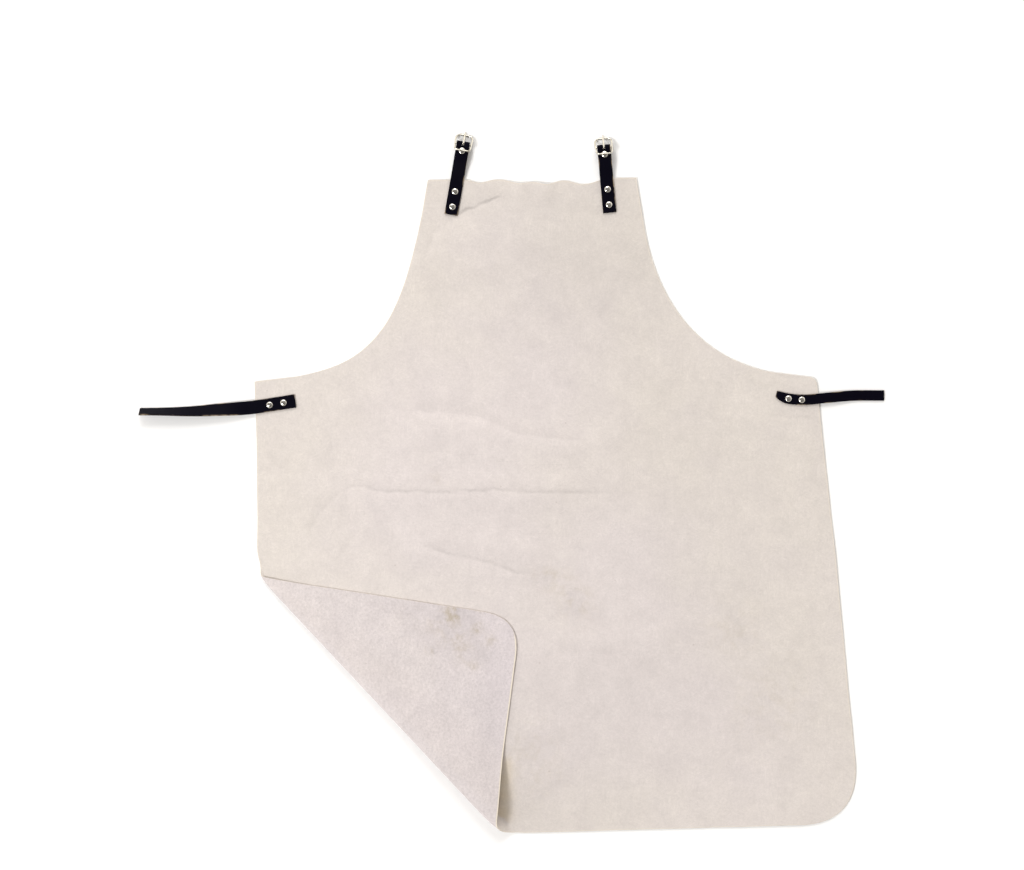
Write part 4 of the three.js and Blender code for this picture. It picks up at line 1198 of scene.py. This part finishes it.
class APRON_OT_lay_waist_straps(bpy.types.Operator):
    """Lays the two waist straps along their routes"""

    bl_idname = "apron.lay_waist_straps"
    bl_label = "Lay Waist Straps"

    def execute(self, context):
        for side, strap in WAIST_STRAPS.items():
            rows = waist_rows(strap)
            dimple(rows, [route_spot(strap["route"], along, RIVET_STEPS) for along in strap["rivets"]])
            cut_strap(f"waist_strap_{side}", rows * MM, context.scene.apron_straps)
        return {"FINISHED"}


class APRON_OT_set_rivets(bpy.types.Operator):
    """Sets a domed rivet at each place that the frame has one"""

    bl_idname = "apron.set_rivets"
    bl_label = "Set Rivets"

    def execute(self, context):
        metal = context.scene.apron_metal
        boxes = [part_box(name) for name in RIVETS]
        if not boxes:
            raise RuntimeError("the frame has no rivets")
        points = mesh_from("rivet_points", [((a.x + b.x) / 2, (a.y + b.y) / 2, a.z) for a, b in boxes])
        point_values(points, "tall", [b.z - a.z for a, b in boxes])
        mesh = grown_mesh(points, rivet_tree(), metal, nickel_material(metal, "nickel_rivets", RIVET_DULL))
        piece_from("rivets", mesh, "root", "nickel", *RIVETS)
        return {"FINISHED"}


class APRON_OT_bend_frames(bpy.types.Operator):
    """Bends the two buckle frames from wire, each with its centre bar"""

    bl_idname = "apron.bend_frames"
    bl_label = "Bend Buckle Frames"

    def execute(self, context):
        metal = context.scene.apron_metal
        (low, low_half), (high, high_half) = FRAME_LOWER, FRAME_UPPER
        bar_half = low_half + (high_half - low_half) * -low / (high - low)
        corners = ((-low_half, low), (low_half, low), (high_half, high), (-high_half, high))
        points = [(x * MM, y * MM, 0) for x, y in (*corners, (-bar_half, 0), (bar_half, 0))]
        edges = [(0, 1), (1, 2), (2, 3), (3, 0), (4, 5)]
        tree = wire_tree()
        finish = nickel_material(metal, "nickel_wire", WIRE_DULL)
        for side in TABS:
            line = mesh_from("frame_line", moved(points, buckle_place(side, FRAME_TILT)), edges=edges)
            point_values(line, "ease", CORNER_EASE)
            mesh = grown_mesh(line, tree, metal, finish)
            piece_from(f"buckle_frame_{side}_wire", mesh, f"buckle_{side}", "nickel", f"buckle_frame_{side}")
        return {"FINISHED"}


class APRON_OT_curl_tongues(bpy.types.Operator):
    """Curls the two buckle tongues round their bars"""

    bl_idname = "apron.curl_tongues"
    bl_label = "Curl Buckle Tongues"

    def execute(self, context):
        metal = context.scene.apron_metal
        points, faces = tongue_mesh(metal)
        for side in TABS:
            place = buckle_place(side, FRAME_TILT)
            mesh = mesh_from(f"buckle_tongue_{side}_pin", moved(points, place), faces)
            mesh.materials.append(nickel_material(metal, "nickel_wire", WIRE_DULL))
            mesh.shade_smooth()
            piece_from(f"buckle_tongue_{side}_pin", mesh, f"tongue_{side}", "nickel", f"buckle_tongue_{side}")
        return {"FINISHED"}


class APRON_OT_set_stage(bpy.types.Operator):
    """Sets the pale floor, the soft lights and the camera straight above"""

    bl_idname = "apron.set_stage"
    bl_label = "Set Stage"

    def execute(self, context):
        stage, scene = context.scene.apron_stage, context.scene
        half = stage.floor_size / 2
        corners = [(x * half, y * half, 0) for x, y in ((-1, -1), (1, -1), (1, 1), (-1, 1))]
        mesh = mesh_from("floor", corners, [range(4)])
        material, tree, shader = new_material("pale_floor")
        tone = remap(grain(object_place(tree), 3.0, detail=3.0), 0.3, 0.7, 0.985, 1.0)
        colour = shaded(stage.floor_colour, tone)
        fill(shader, {"Base Color": colour, "Roughness": 0.9, "Specular IOR Level": 0.1})
        mesh.materials.append(material)
        floor = in_scene("floor", mesh)

        scene.world = bpy.data.worlds.new("studio")
        scene.world.use_nodes = True
        tree = scene.world.node_tree
        axes = node(tree, "ShaderNodeSeparateXYZ", {0: node(tree, "ShaderNodeTexCoord")["Generated"]})
        strength = remap(axes["Z"], *SKY_HEIGHTS, stage.sky_low, stage.sky_high)
        strength *= remap(axes["Y"], *SKY_SIDES, 1 - stage.sky_tilt, 1 + stage.sky_tilt)
        fill(tree.nodes["Background"], {"Strength": strength, "Color": (*stage.sky_colour, 1)})

        for name, (spot, size) in LIGHTS.items():
            light = bpy.data.lights.new(name, "AREA")
            light.shape = "RECTANGLE"
            light.size, light.size_y = size
            light.energy = getattr(stage, f"{name}_power")
            lamp = in_scene(name, light)
            lamp.location = spot
            lamp.rotation_euler = (-Vector(spot)).to_track_quat("-Z", "Y").to_euler()

        lens = bpy.data.cameras.new("camera")
        lens.lens = lens.sensor_width * stage.camera_height / stage.frame_width
        lens.clip_end = 100
        scene.camera = in_scene("camera", lens)
        scene.camera.location = (0, stage.frame_middle, stage.camera_height)
        scene.view_settings.view_transform = "Standard"
        return {"FINISHED"}


class APRON_PT_sidebar(bpy.types.Panel):
    """Sizes, colours and steps of the apron"""

    bl_idname = "APRON_PT_sidebar"
    bl_label = "Welding Apron"
    bl_space_type = "VIEW_3D"
    bl_region_type = "UI"
    bl_category = "Apron"

    def draw(self, context):
        for operator in STEPS:
            self.layout.operator(operator.bl_idname)
        for name in SETTINGS:
            settings = getattr(context.scene, name)
            box = self.layout.box()
            for key in settings.__annotations__:
                box.prop(settings, key)


STEPS = (
    APRON_OT_set_stage,
    APRON_OT_lay_panel,
    APRON_OT_fold_tabs,
    APRON_OT_lay_waist_straps,
    APRON_OT_set_rivets,
    APRON_OT_bend_frames,
    APRON_OT_curl_tongues,
)
SETTINGS = {
    "apron_leather": LeatherSettings,
    "apron_straps": StrapSettings,
    "apron_metal": MetalSettings,
    "apron_stage": StageSettings,
}
CLASSES = (*SETTINGS.values(), *STEPS, APRON_PT_sidebar)


def register():
    for cls in CLASSES:
        bpy.utils.register_class(cls)
    for name, cls in SETTINGS.items():
        setattr(bpy.types.Scene, name, PointerProperty(type=cls))


def unregister():
    for name in SETTINGS:
        delattr(bpy.types.Scene, name)
    for cls in reversed(CLASSES):
        bpy.utils.unregister_class(cls)


def main():
    register()
    bpy.ops.apron.set_stage()
    bpy.ops.apron.lay_panel()
    bpy.ops.apron.fold_tabs()
    bpy.ops.apron.lay_waist_straps()
    bpy.ops.apron.set_rivets()
    bpy.ops.apron.bend_frames()
    bpy.ops.apron.curl_tongues()


if __name__ == "__main__":
    main()
